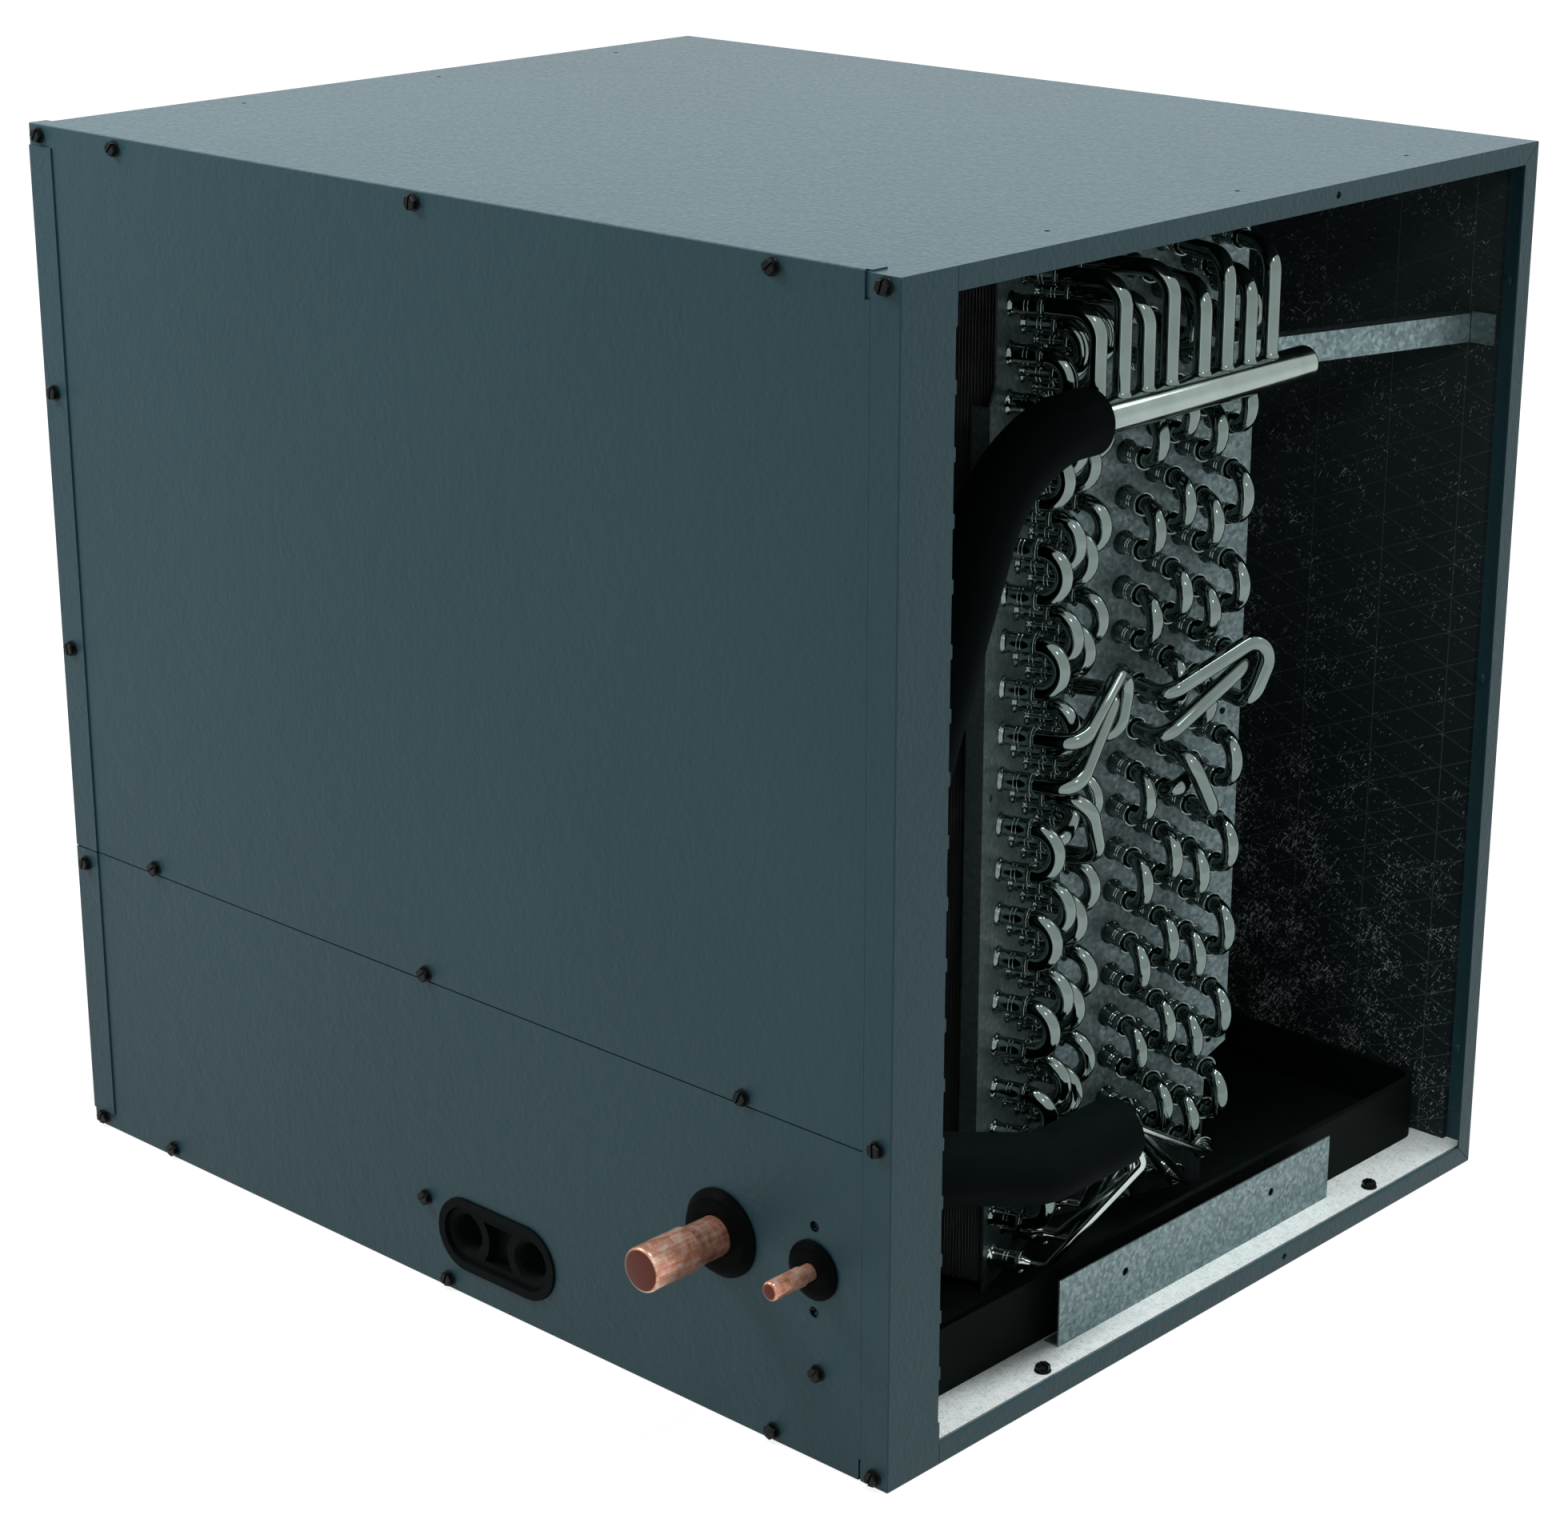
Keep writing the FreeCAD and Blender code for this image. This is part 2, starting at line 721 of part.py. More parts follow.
def front_end_sheet(side):
    """End sheet at the apex end, stepped in at the pan and at the top, with a folded outer edge."""
    c = sheet_chamfer
    outline = [(apex_gap, pan_floor_top), (sheet_low, pan_floor_top), (sheet_low, sheet_low_z),
               (sheet_mid, sheet_low_z + c), (sheet_mid, sheet_high_z - c), (sheet_high, sheet_high_z),
               (sheet_high, sheet_top), (apex_gap, sheet_top)]
    plate = plate_x([(side * y, z) for y, z in outline], -end_sheet, 0)
    y0, y1 = sorted((side * (sheet_mid - end_sheet), side * sheet_mid))
    flange = box(-sheet_flange, 0, y0, y1, sheet_low_z + c, sheet_high_z - c)
    holes = [cylinder_x(side * sheet_hole_s, z, sheet_hole_radius, -2 * end_sheet, end_sheet)
             for z in sheet_hole_z]
    return on_slab(plate.fuse(flange).removeSplitter().cut(holes), side)


def rear_end_sheet(side):
    """End sheet at the open end of the slab, with a folded inner edge."""
    inner = pack_s0 - rear_sheet_lap
    y0, y1 = sorted((side * inner, side * sheet_low))
    plate = box(rear_d, rear_d + end_sheet, y0, y1, pan_floor_top, sheet_top)
    y0, y1 = sorted((side * inner, side * (inner + end_sheet)))
    flange = box(rear_d, rear_d + sheet_flange, y0, y1, pan_floor_top, sheet_top)
    return on_slab(plate.fuse(flange).removeSplitter(), side)


def bend_path(side, y, z_high, z_low, base, leg, turns):
    """Path of a half-round bend between two tubes above each other."""
    centre_z = (z_high + z_low) / 2
    radius = (z_high - z_low) / 2
    centre_d = base + leg
    out = 1 if leg > 0 else -1
    path = [slab_point(side, base, y, z_high)]
    step = math.pi / turns
    reach = radius / math.cos(step / 2)
    for i in range(turns):
        a = math.pi / 2 - step * (i + 0.5)
        d = centre_d + out * reach * math.cos(a)
        path.append(slab_point(side, d, y, centre_z + reach * math.sin(a)))
    path.append(slab_point(side, base, y, z_low))
    return path


# Tubes that no plain bend joins, as (row, tube): crossovers at mid height
crossed = {(row, cross_tube + i) for row in (0, 3) for i in (0, 1)}
crossed |= {(row, cross_tube + i) for row in (1, 2) for i in (2, 3)}


def return_bends(side):
    """Bends at the apex end, each with the two tube ends that it joins."""
    bends = []
    for row in range(tube_rows):
        y = row_y(side, row)
        for k in range(1, tubes_per_row - 1, 2):
            if (row, k) in crossed:
                continue
            high = tube_z(row, k)
            low = tube_z(row, k + 1)
            path = bend_path(side, y, high, low, 0, bell_out + bend_leg, bend_turns)
            bends.append(mitre_tube(path, tube_radius, tube_sides))
    return Part.makeCompound(bends)


def rear_hairpins(side):
    """Hairpin ends of the tubes at the open end of the slab."""
    bends = []
    for row in range(tube_rows):
        y = row_y(side, row)
        for k in range(0, tubes_per_row, 2):
            high = tube_z(row, k)
            low = tube_z(row, k + 1)
            path = bend_path(side, y, high, low, rear_d, -hairpin_leg, hairpin_turns)
            bends.append(mitre_tube(path, tube_radius, hairpin_sides))
    return Part.makeCompound(bends)


def crossovers(side):
    """Long looped tubes and short jumpers that cross between rows at mid height."""
    def tube(points, radius):
        start = row_y(side, 0)
        path = [slab_point(side, d, start + u, z) for u, d, z in points]
        return mitre_tube(softened(path, radius, tube_turns), tube_radius, tube_sides)

    def crossing(row_a, tube_a, row_b, tube_b, out):
        u_a = row_a * depth_pitch
        u_b = row_b * depth_pitch
        z_a = tube_z(row_a, tube_a)
        z_b = tube_z(row_b, tube_b)
        return [(u_a, 0, z_a), (u_a, out, z_a), (u_b, out, z_b), (u_b, 0, z_b)]

    first = cross_tube
    looped = crossing(0, first, 3, first + 1, loop_out)
    far = looped[2]
    looped.insert(2, (far[0] + loop_corner_u, loop_out, far[2] + loop_corner_z))
    slanted = crossing(0, first + 1, 3, first, crossover_out)
    jumper = crossing(1, first + 2, 2, first + 3, jumper_out)
    short = crossing(1, first + 3, 2, first + 2, short_out)
    return Part.makeCompound([tube(looped, crossover_bend), tube(slanted, crossover_bend),
                              tube(jumper, crossover_bend), tube(short, short_bend)])


# Suction side

def feeder_drop(side, row):
    """Points of a feeder: at the sheet, above the header, and in the header."""
    y = row_y(side, row)
    z = tube_z(row, 0)
    start = slab_point(side, 0, y, z)
    d = (header_x - start[0]) / math.cos(turn)
    top = slab_point(side, d, y, z)
    return [start, top, (top[0], top[1], header_z)]


header_y0 = feeder_drop(-1, 0)[1][1] - header_open_end
header_y1 = feeder_drop(1, tube_rows - 1)[1][1] + header_closed_end


def suction_header():
    """Horizontal header tube with a bevelled closed end."""
    tube = cylinder_y(header_x, header_z, header_radius, header_y0, header_y1)
    return bevelled(tube, header_crown, lambda b: b.YMin > header_y1 - edge_tolerance)


def feeder_tubes():
    """One tube from the top of each row, over and down into the header, saddled on it."""
    header = cylinder_y(header_x, header_z, header_radius, header_y0, header_y1)
    tubes = []
    for side in (-1, 1):
        for row in range(tube_rows):
            path = softened(feeder_drop(side, row), feeder_radius, tube_turns)
            tubes.append(mitre_tube(path, tube_radius, tube_sides).cut(header))
    return Part.makeCompound(tubes)


suction_route = [(header_x, header_y0, header_z), (header_x, header_y0 - suction_turn, header_z),
                 (suction_x, -half_w + suction_drop, suction_z),
                 (suction_x, lip_back + stub_inside, suction_z)]


def suction_line():
    """Suction tube from the header's open end down to the stub in the front panel."""
    inner = mitre_tube(softened(suction_route, suction_bend, elbow_turns), suction_radius, suction_sides)
    end = suction_cap_end + cap_floor * suction_cap_wall
    stub = cylinder_y(suction_x, suction_z, suction_radius, end, lip_back + stub_inside)
    return inner.fuse(stub)


def suction_sleeve():
    """Foam sleeve over the suction tube, open at both ends."""
    route = list(suction_route)
    route[0] = (header_x, header_y0 - foam_clear, header_z)
    route[-1] = (suction_x, lip_back + foam_end, suction_z)
    path = softened(route, suction_bend, elbow_turns)
    flat = math.cos(math.pi / suction_sides)
    outer = mitre_tube(path, foam_radius, suction_sides)
    bore = mitre_tube(path, (suction_radius + foam_clear) / flat, suction_sides)
    stub_bore = cylinder_y(suction_x, suction_z, suction_radius + foam_clear,
                           lip_back, lip_back + stub_inside)
    first_bend = bend_path(-1, row_y(-1, 0), tube_z(0, 1), tube_z(0, 2),
                           0, bell_out + bend_leg, bend_turns)
    relief = mitre_tube(first_bend, tube_radius + foam_clear, tube_sides)
    return outer.cut([bore, stub_bore, relief])


def stub_cap(x, z, radius, wall, y_end, y_start):
    """Copper cup over the end of a stub, with a bevelled rim."""
    cup = cylinder_y(x, z, radius + wall, y_end, y_start)
    cup = bevelled(cup, wall, lambda b: b.YMax < y_end + edge_tolerance)
    return cup.cut(cylinder_y(x, z, radius, y_end + cap_floor * wall, y_start + cut_past))


def grommet(x, z, hole, flange, nose, nose_out, tube):
    """Rubber grommet: cone nose and flange outside the panel, neck, and inner lip."""
    lip = wrap_front + grommet_gap
    outside = cylinder_y(x, z, flange, -half_w - grommet_flange, -half_w)
    cone = Part.makeCone(nose, flange - grommet_step, nose_out - grommet_flange,
                         V(x, -half_w - nose_out, z), V(0, 1, 0))
    neck = cylinder_y(x, z, hole - grommet_fit, -half_w, lip)
    inside = cylinder_y(x, z, hole + grommet_lip, lip, lip + grommet_flange)
    ring = fuse_all([outside, cone, neck, inside])
    return ring.cut(cylinder_y(x, z, tube + tube_fit, -half_w - 2 * nose_out, lip + 2 * grommet_flange))


def suction_grommet():
    return grommet(suction_x, suction_z, suction_hole, suction_flange, suction_nose, suction_nose_out,
                   suction_radius)


def liquid_grommet():
    return grommet(liquid_x, liquid_z, liquid_hole, liquid_flange, liquid_nose, liquid_nose_out,
                   liquid_radius)


# Liquid side

sleeve_start = (half_l - sleeve_top_inset, -half_w + sleeve_top_gap, liquid_z + sleeve_top_rise)
sleeve_turn = (meter_x, sleeve_turn_y, meter_z)
sleeve_finish = (meter_x, meter_y1 + distributor_length + sleeve_end, meter_z)


def liquid_line():
    """Liquid tube from the stub in the front panel, over a rise and down to the metering body."""
    inner_y = lip_back + stub_inside / 2
    lead = tuple(a + (a - b) * sleeve_lead for a, b in zip(sleeve_start, sleeve_turn))
    path = [(liquid_x, inner_y, liquid_z), (liquid_x, inner_y + liquid_straight, liquid_z), lead,
            sleeve_turn, (meter_x, meter_y0, meter_z)]
    inner = mitre_tube(softened(path, liquid_bend, tube_turns), liquid_radius, liquid_sides)
    end = liquid_cap_end + cap_floor * liquid_cap_wall
    stub = cylinder_y(liquid_x, liquid_z, liquid_radius, end, inner_y)
    return inner.fuse(stub)


def metering_body():
    """Metering body and distributor in line with the liquid tube."""
    waist = meter_radius - meter_waist
    nut = cylinder_y(meter_x, meter_z, meter_radius, meter_y0, meter_y0 + meter_nut)
    barrel = cylinder_y(meter_x, meter_z, waist, meter_y0 + meter_nut, meter_y1 - meter_nut)
    bowl = Part.makeCone(waist, distributor_radius, meter_nut,
                         V(meter_x, meter_y1 - meter_nut, meter_z), V(0, 1, 0))
    nose = cylinder_y(meter_x, meter_z, distributor_radius, meter_y1, meter_y1 + distributor_length)
    return fuse_all([nut, barrel, bowl, nose])


def capillaries():
    """Thin feed tubes from the distributor to the lowest tube of each row, each with its tube end."""
    rows = list(reversed(range(tube_rows)))
    places = [(1, row) for row in rows] + [(-1, row) for row in rows]
    tubes = []
    for index, (side, row) in enumerate(places):
        y = row_y(side, row)
        z = tube_z(row, tubes_per_row - 1)
        angle = 2 * math.pi * (index + 0.5) / len(places)
        spoke = V(math.cos(angle), 0, math.sin(angle))
        face = V(meter_x, meter_y1 + distributor_length, meter_z)
        start = face + spoke * (distributor_radius - capillary_inset)
        points = [start, start + V(0, capillary_lead, 0)]
        if side < 0:
            points.append(points[-1] + spoke * capillary_fan + V(0, capillary_step, -capillary_drop))
        path = [(p.x, p.y, p.z) for p in points]
        path += [slab_point(side, bell_out + capillary_out, y, z), slab_point(side, bell_out, y, z)]
        thin = mitre_tube(softened(path, capillary_bend, tube_turns), capillary_radius, tube_sides)
        ends = [slab_point(side, 0, y, z), slab_point(side, bell_out + end_sheet, y, z)]
        tubes.append(thin.fuse(mitre_tube(ends, tube_radius, tube_sides)))
    return Part.makeCompound(tubes)


def liquid_sleeve():
    """Foam sleeve over the liquid tube's fall, the metering body and the distributor."""
    path = softened([sleeve_start, sleeve_turn, sleeve_finish], sleeve_bend, elbow_turns)
    flat = math.cos(math.pi / sleeve_sides)
    outer = mitre_tube(path, sleeve_radius, sleeve_sides)
    return outer.cut(mitre_tube(path, (distributor_radius + foam_clear) / flat, sleeve_sides))


# Brace, baffles and seals

def brace():
    """Galvanised angle, square to the back slab's folded edge, with a tab at each end."""
    z0 = brace_z - brace_leg
    start = sheet_mid + brace_gap
    wall = back_face - brace_gap
    far = (wall - brace_back * math.sin(turn)) / math.cos(turn)
    front = box(-brace_back - brace_sheet, -brace_back, start, far + brace_top, z0, brace_z)
    top = box(-brace_back - brace_top, -brace_back, start, far + brace_top, brace_z - brace_sheet, brace_z)
    foot = box(-brace_back - brace_tab, -brace_back, start, start + brace_sheet, z0, brace_z)
    bar = on_slab(fuse_all([front, top, foot]), 1)
    beyond = box(-half_l, half_l, wall, half_w + brace_tab, 0, case_height)
    x = slab_point(1, -brace_back, far, 0)[0]
    tab = box(x - brace_tab, x, wall - brace_sheet, wall, z0, brace_z)
    return fuse_all([bar.cut(beyond), tab])


def air_baffle(side):
    """Upright angle that closes the gap between the slab's open end and the wall."""
    x, y, _ = slab_point(side, rear_d, side * sheet_low, 0)
    near = abs(y) + seal_gap
    wall = back_face if side > 0 else -panel_liner_face
    low = pan_rim + baffle_lift
    high = sheet_top
    plate = box(x - baffle_sheet, x, near, wall, low, high)
    foot = box(x - baffle_foot, x, wall - baffle_sheet, wall, low, high)
    lap = box(x - baffle_sheet, x + baffle_lap, near, near + baffle_sheet, low, high)
    angle = fuse_all([plate, foot, lap])
    return angle if side > 0 else angle.mirror(V(0, 0, 0), V(0, 1, 0))


def top_seal(side):
    """Foam strip between the top of a slab and the ceiling liner."""
    y0, y1 = sorted((side * pack_s0, side * pack_s1))
    strip = box(-end_sheet - fin_length, -end_sheet - seal_gap, y0, y1, coil_top, ceiling_z - seal_gap)
    return on_slab(strip, side)


# Fasteners

def hex_prism(height, flats):
    corner = flats / math.sqrt(3)
    angles = [math.radians(60 * i) for i in range(6)]
    points = [(corner * math.cos(a), corner * math.sin(a)) for a in angles]
    return plate_z(points, 0, height)


def screw_head():
    """Slotted hexagon head that stands on the XY plane."""
    head = hex_prism(head_height, head_flats)
    half = slot_width / 2
    return head.cut(box(-head_flats, head_flats, -half, half,
                        head_height - slot_depth, head_height + cut_past))


def front_screw(x, z, face):
    screw = screw_head()
    screw.rotate(V(0, 0, 0), V(1, 0, 0), 90)
    screw.translate(V(x, face, z))
    return screw.fuse(prism_y(x, z, shank_radius, shank_sides, face, face + shank_length))


def panel_screws():
    """Screws of the access panels and posts."""
    screws = [front_screw(x, z, -half_w) for x, z in top_row + bottom_row + seam_row + pan_row]
    screws += [front_screw(x, z, -half_w - sheet) for x, z in side_row]
    return Part.makeCompound(screws)


def floor_screws():
    """Screws through the floor liner at both duct ends."""
    screws = []
    for end in (-1, 1):
        for y in floor_screw_y:
            screw = screw_head()
            screw.translate(V(end * floor_screw_x, y, floor_z))
            screws.append(screw)
    return Part.makeCompound(screws)


def back_rivets():
    """Rivet heads inside the back sheet, beside the duct flanges."""
    rivets = []
    pitch = (case_height - rivet_top_drop - rivet_bottom) / (rivet_rows - 1)
    face = half_w - sheet
    for end in (-1, 1):
        for i in range(rivet_rows):
            x = end * (half_l - rivet_inset)
            z = rivet_bottom + i * pitch
            rivets.append(prism_y(x, z, rivet_radius, rivet_sides, face - rivet_height, face))
    return Part.makeCompound(rivets)


nodes = {
    "casing_wrapper": casing_wrapper,
    "outlet_corner_post": outlet_corner_post,
    "inlet_corner_post": inlet_corner_post,
    "upper_access_panel": upper_access_panel,
    "lower_access_panel": lower_access_panel,
    "back_liner": back_liner,
    "ceiling_liner": ceiling_liner,
    "floor_liner": floor_liner_sheet,
    "panel_liner": panel_liner,
    "lower_panel_liner": lower_panel_liner,
    "drain_pan": drain_pan,
    "drain_boss": drain_boss,
    "pan_bracket": pan_bracket,
    "suction_header": suction_header,
    "feeder_tubes": feeder_tubes,
    "suction_line": suction_line,
    "suction_sleeve": suction_sleeve,
    "suction_cap": lambda: stub_cap(suction_x, suction_z, suction_radius, suction_cap_wall,
                                    suction_cap_end, suction_cap_start),
    "suction_grommet": suction_grommet,
    "liquid_line": liquid_line,
    "liquid_cap": lambda: stub_cap(liquid_x, liquid_z, liquid_radius, liquid_cap_wall,
                                   liquid_cap_end, liquid_cap_start),
    "liquid_grommet": liquid_grommet,
    "metering_body": metering_body,
    "liquid_sleeve": liquid_sleeve,
    "capillaries": capillaries,
    "brace": brace,
    "panel_screws": panel_screws,
    "floor_screws": floor_screws,
    "back_rivets": back_rivets,
}
for name, side in (("front", -1), ("back", 1)):
    nodes[name + "_fin_pack"] = lambda side=side: fin_pack(side)
    nodes[name + "_apex_sheet"] = lambda side=side: front_end_sheet(side)
    nodes[name + "_open_end_sheet"] = lambda side=side: rear_end_sheet(side)
    nodes[name + "_return_bends"] = lambda side=side: return_bends(side)
    nodes[name + "_hairpins"] = lambda side=side: rear_hairpins(side)
    nodes[name + "_crossovers"] = lambda side=side: crossovers(side)
    nodes[name + "_air_baffle"] = lambda side=side: air_baffle(side)
    nodes[name + "_top_seal"] = lambda side=side: top_seal(side)

os.makedirs("parts", exist_ok=True)
for name, build in nodes.items():
    shape = build()
    shape.exportStep("parts/" + name + ".step")
    state = "valid" if shape.isValid() else "NOT VALID"
    print(name, len(shape.Solids), "solids", state, round(shape.Volume))
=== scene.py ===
import json
import math
import random

import bmesh
import bpy
from mathutils import Matrix, Vector, noise


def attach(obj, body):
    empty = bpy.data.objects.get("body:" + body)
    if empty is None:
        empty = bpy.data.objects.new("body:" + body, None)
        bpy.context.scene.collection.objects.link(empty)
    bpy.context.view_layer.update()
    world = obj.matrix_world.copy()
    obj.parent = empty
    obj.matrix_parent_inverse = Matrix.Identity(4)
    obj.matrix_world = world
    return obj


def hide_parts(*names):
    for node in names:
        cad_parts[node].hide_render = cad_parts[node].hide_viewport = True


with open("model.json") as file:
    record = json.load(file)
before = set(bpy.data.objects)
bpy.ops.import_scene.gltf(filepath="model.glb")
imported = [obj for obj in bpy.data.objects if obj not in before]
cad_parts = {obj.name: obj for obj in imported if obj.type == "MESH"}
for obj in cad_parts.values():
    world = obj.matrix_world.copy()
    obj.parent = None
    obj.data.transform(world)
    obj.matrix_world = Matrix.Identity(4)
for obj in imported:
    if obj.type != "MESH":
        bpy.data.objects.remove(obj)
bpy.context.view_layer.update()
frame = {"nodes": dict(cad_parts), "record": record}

# Lengths are millimetres up to the meshes, which are in metres
MM = 0.001

# Casing
half_l = 330.2
half_w = 268.3
sheet = 1.0
lip_back = -half_w + 2 * sheet

# Screws of the access panels, as (x, z)
flush_screws = [(x, z) for z in (616.0, 5.6) for x in (-321.0, -251.0, 0.0, 251.0, 321.0)]
flush_screws += [(x, 188.2) for x in (-253.0, -11.5, 230.0, 321.0)] + [(-17.4, 50.6), (282.2, 50.6)]
raised_screws = [(-321.0, 466.7), (-321.0, 311.15), (-321.0, 174.5)]
floor_screws = [(end * 319.5, y) for end in (-1, 1) for y in (-131.0, 176.0)]
floor_top = 11.0
head_flats = 7.4
head_height = 4.0
head_flange = 4.7
slot_width = 1.3
slot_depth = 1.6

# Tab of the brace on the back wall
tab_x = (299.1, 314.8)
tab_y = (260.7, 261.9)
tab_z = (504.5, 522.5)

# Coil slabs
turn = math.radians(18.0)
apex_x = 218.6
tube_rows = 4
tubes_per_row = 22
row_pitch = 19.05
tube_pitch = 25.4
first_row = 35.85
coil_bottom = 25.4
coil_top = 596.9
end_sheet = 1.2
fin_length = 444.5
rear_d = -(fin_length + 2 * end_sheet)
tube_radius = 4.76
bell_out = 18.4
bend_start = 15.0
bend_leg = 1.3
hairpin_leg = 2.0
# Tubes that the crossovers join, as (row, number from the top)
crossed = {(0, 9), (0, 10), (3, 9), (3, 10), (1, 11), (1, 12), (2, 11), (2, 12)}

# Suction side
header_x = 292.0
header_z = 516.5
header_radius = 9.525
header_y0 = -80.0
header_y1 = 109.0
header_sides = 48
suction_x = 214.7
suction_z = 107.2
suction_radius = 11.11
suction_cap_wall = 1.2
suction_cap_end = -328.0
suction_cap_start = -295.0
suction_route = [Vector((header_x, header_y0, header_z)), Vector((header_x, -145.0, header_z)),
                 Vector((suction_x, -205.0, suction_z)), Vector((suction_x, lip_back + 6.0, suction_z))]
suction_bend = 60.0
suction_steps = 16
# Reach of the stub outside the lip, and its whole length
suction_stub = 56.0
suction_stub_length = 72.0
foam_radius = 17.5
foam_clear = 0.35
sleeve_gap = 0.3

# Grommets: radius of the hole, of the flange and of the nose, and how far the nose stands out
suction_ring = (20.0, 24.5, 21.5, 6.0)
liquid_ring = (12.5, 16.3, 14.0, 4.0)

# Liquid side
liquid_x = 279.5
liquid_z = 108.3
liquid_radius = 4.76
liquid_bend = 12.0
# Length of the stub, and how far its start lies inside the cap
liquid_stub_length = 40.0
liquid_stub_gap = 1.5
# Start and length of the straight run behind the panel's lip
liquid_lead_start = 4.0
liquid_lead = 16.0
# Where the tube straightens before the foam, as a share of the foam's first run
liquid_ahead = -0.1
liquid_cap_wall = 0.6
liquid_cap_end = -302.2
liquid_cap_start = -278.5
sleeve_start = Vector((288.0, -212.0, 147.0))
sleeve_turn = Vector((304.0, -118.0, 120.0))
sleeve_finish = Vector((304.0, -53.0, 120.0))
sleeve_bend = 60.0
sleeve_radius = 19.5
meter_start = Vector((304.0, -112.0, 120.0))
meter_length = 42.0
distributor_length = 14.0
distributor_radius = 11.0
capillary_radius = 2.2
capillary_inset = 3.6
capillary_lead = 10.0
capillary_bend = 5.0
# Straight run of a capillary before its plug
capillary_reach = 14.0
# Extra point of those to the front slab: outwards, then ahead and down
capillary_spread = 6.0
capillary_drop = Vector((0, 2, -14))


# Meshes

class Shape:
    """Points and faces gathered before they become one mesh."""

    def __init__(self):
        self.points = []
        self.faces = []

    def add(self, points, faces):
        base = len(self.points)
        self.points += [Vector(p) for p in points]
        self.faces += [[base + i for i in face] for face in faces]

    def moved(self, matrix):
        result = Shape()
        result.add([matrix @ p for p in self.points], self.faces)
        return result

    def join(self, other):
        self.add(other.points, other.faces)
        return self


def make_piece(name, shape, material, replaced=(), angle=32.0):
    """Object on the root body from a shape, shaded smooth below the angle."""
    mesh = bpy.data.meshes.new(name)
    mesh.from_pydata([p * MM for p in shape.points], [], shape.faces)
    work = bmesh.new()
    work.from_mesh(mesh)
    bmesh.ops.recalc_face_normals(work, faces=work.faces)
    work.to_mesh(mesh)
    work.free()
    mesh.shade_smooth()
    mesh.set_sharp_from_angle(angle=math.radians(angle))
    mesh.materials.append(material)
    piece = bpy.data.objects.new(name, mesh)
    bpy.context.scene.collection.objects.link(piece)
    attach(piece, "root")
    if replaced:
        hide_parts(*replaced)
    return piece


def ring_faces(first, second, sides):
    faces = []
    for i in range(sides):
        j = (i + 1) % sides
        faces.append([first + i, first + j, second + j, second + i])
    return faces


def sweep(path, radius, sides, swell=None):
    """Round tube along a path, closed at both ends; swell scales the radius at (step, angle)."""
    path = [Vector(p) for p in path]
    runs = [(b - a).normalized() for a, b in zip(path, path[1:])]
    tangents = [runs[0]] + [(a + b).normalized() for a, b in zip(runs, runs[1:])] + [runs[-1]]
    seed = Vector((0, 0, 1)) if abs(tangents[0].z) < 0.9 else Vector((1, 0, 0))
    across = tangents[0].cross(seed).normalized()
    points = []
    for step, (centre, tangent) in enumerate(zip(path, tangents)):
        across = (across - tangent * across.dot(tangent)).normalized()
        up = across.cross(tangent)
        for i in range(sides):
            a = 2 * math.pi * i / sides
            reach = radius * (swell(step, a) if swell else 1.0)
            points.append(centre + across * (reach * math.cos(a)) + up * (reach * math.sin(a)))
    faces = []
    for step in range(len(path) - 1):
        faces += ring_faces(step * sides, (step + 1) * sides, sides)
    last = (len(path) - 1) * sides
    faces.append(list(range(sides)))
    faces.append([last + i for i in range(sides)])
    shape = Shape()
    shape.add(points, faces)
    return shape


def revolve(profile, origin, axis, sides, closed=False):
    """Surface of revolution from (distance along the axis, radius) pairs."""
    axis = Vector(axis).normalized()
    seed = Vector((0, 0, 1)) if abs(axis.z) < 0.9 else Vector((1, 0, 0))
    across = axis.cross(seed).normalized()
    up = across.cross(axis)
    origin = Vector(origin)
    points = []
    for distance, radius in profile:
        for i in range(sides):
            a = 2 * math.pi * i / sides
            spoke = across * math.cos(a) + up * math.sin(a)
            points.append(origin + axis * distance + spoke * radius)
    faces = []
    for step in range(len(profile) - 1):
        faces += ring_faces(step * sides, (step + 1) * sides, sides)
    last = (len(profile) - 1) * sides
    if closed:
        faces += ring_faces(last, 0, sides)
    else:
        faces.append(list(range(sides)))
        faces.append([last + i for i in range(sides)])
    shape = Shape()
    shape.add(points, faces)
    return shape


def arc_corners(path, radius, steps):
    """Path with each inner corner replaced by an arc of the radius."""
    points = [Vector(p) for p in path]
    result = [points[0]]
    for before, corner, after in zip(points, points[1:], points[2:]):
        start = (before - corner).normalized()
        end = (after - corner).normalized()
        angle = math.pi - start.angle(end)
        reach = radius * math.tan(angle / 2)
        centre = corner + (start + end).normalized() * (radius / math.cos(angle / 2))
        first = (corner + start * reach - centre).normalized()
        for i in range(steps + 1):
            a = angle * i / steps
            result.append(centre + (first * math.cos(a) - start * math.sin(a)) * radius)
    result.append(points[-1])
    return result


# Slab geometry

def slab_point(side, d, y, z):
    c = math.cos(turn)
    s = math.sin(turn) * side
    return Vector((apex_x + d * c + y * s, y * c - d * s, z))


def slab_axis(side):
    return Vector((math.cos(turn), -math.sin(turn) * side, 0))


def row_y(side, row):
    first = first_row if side > 0 else -(first_row + (tube_rows - 1) * row_pitch)
    return first + row * row_pitch


def tube_z(row, k):
    drop = tube_pitch if row % 2 == 0 else tube_pitch / 2
    return coil_top - drop - k * tube_pitch


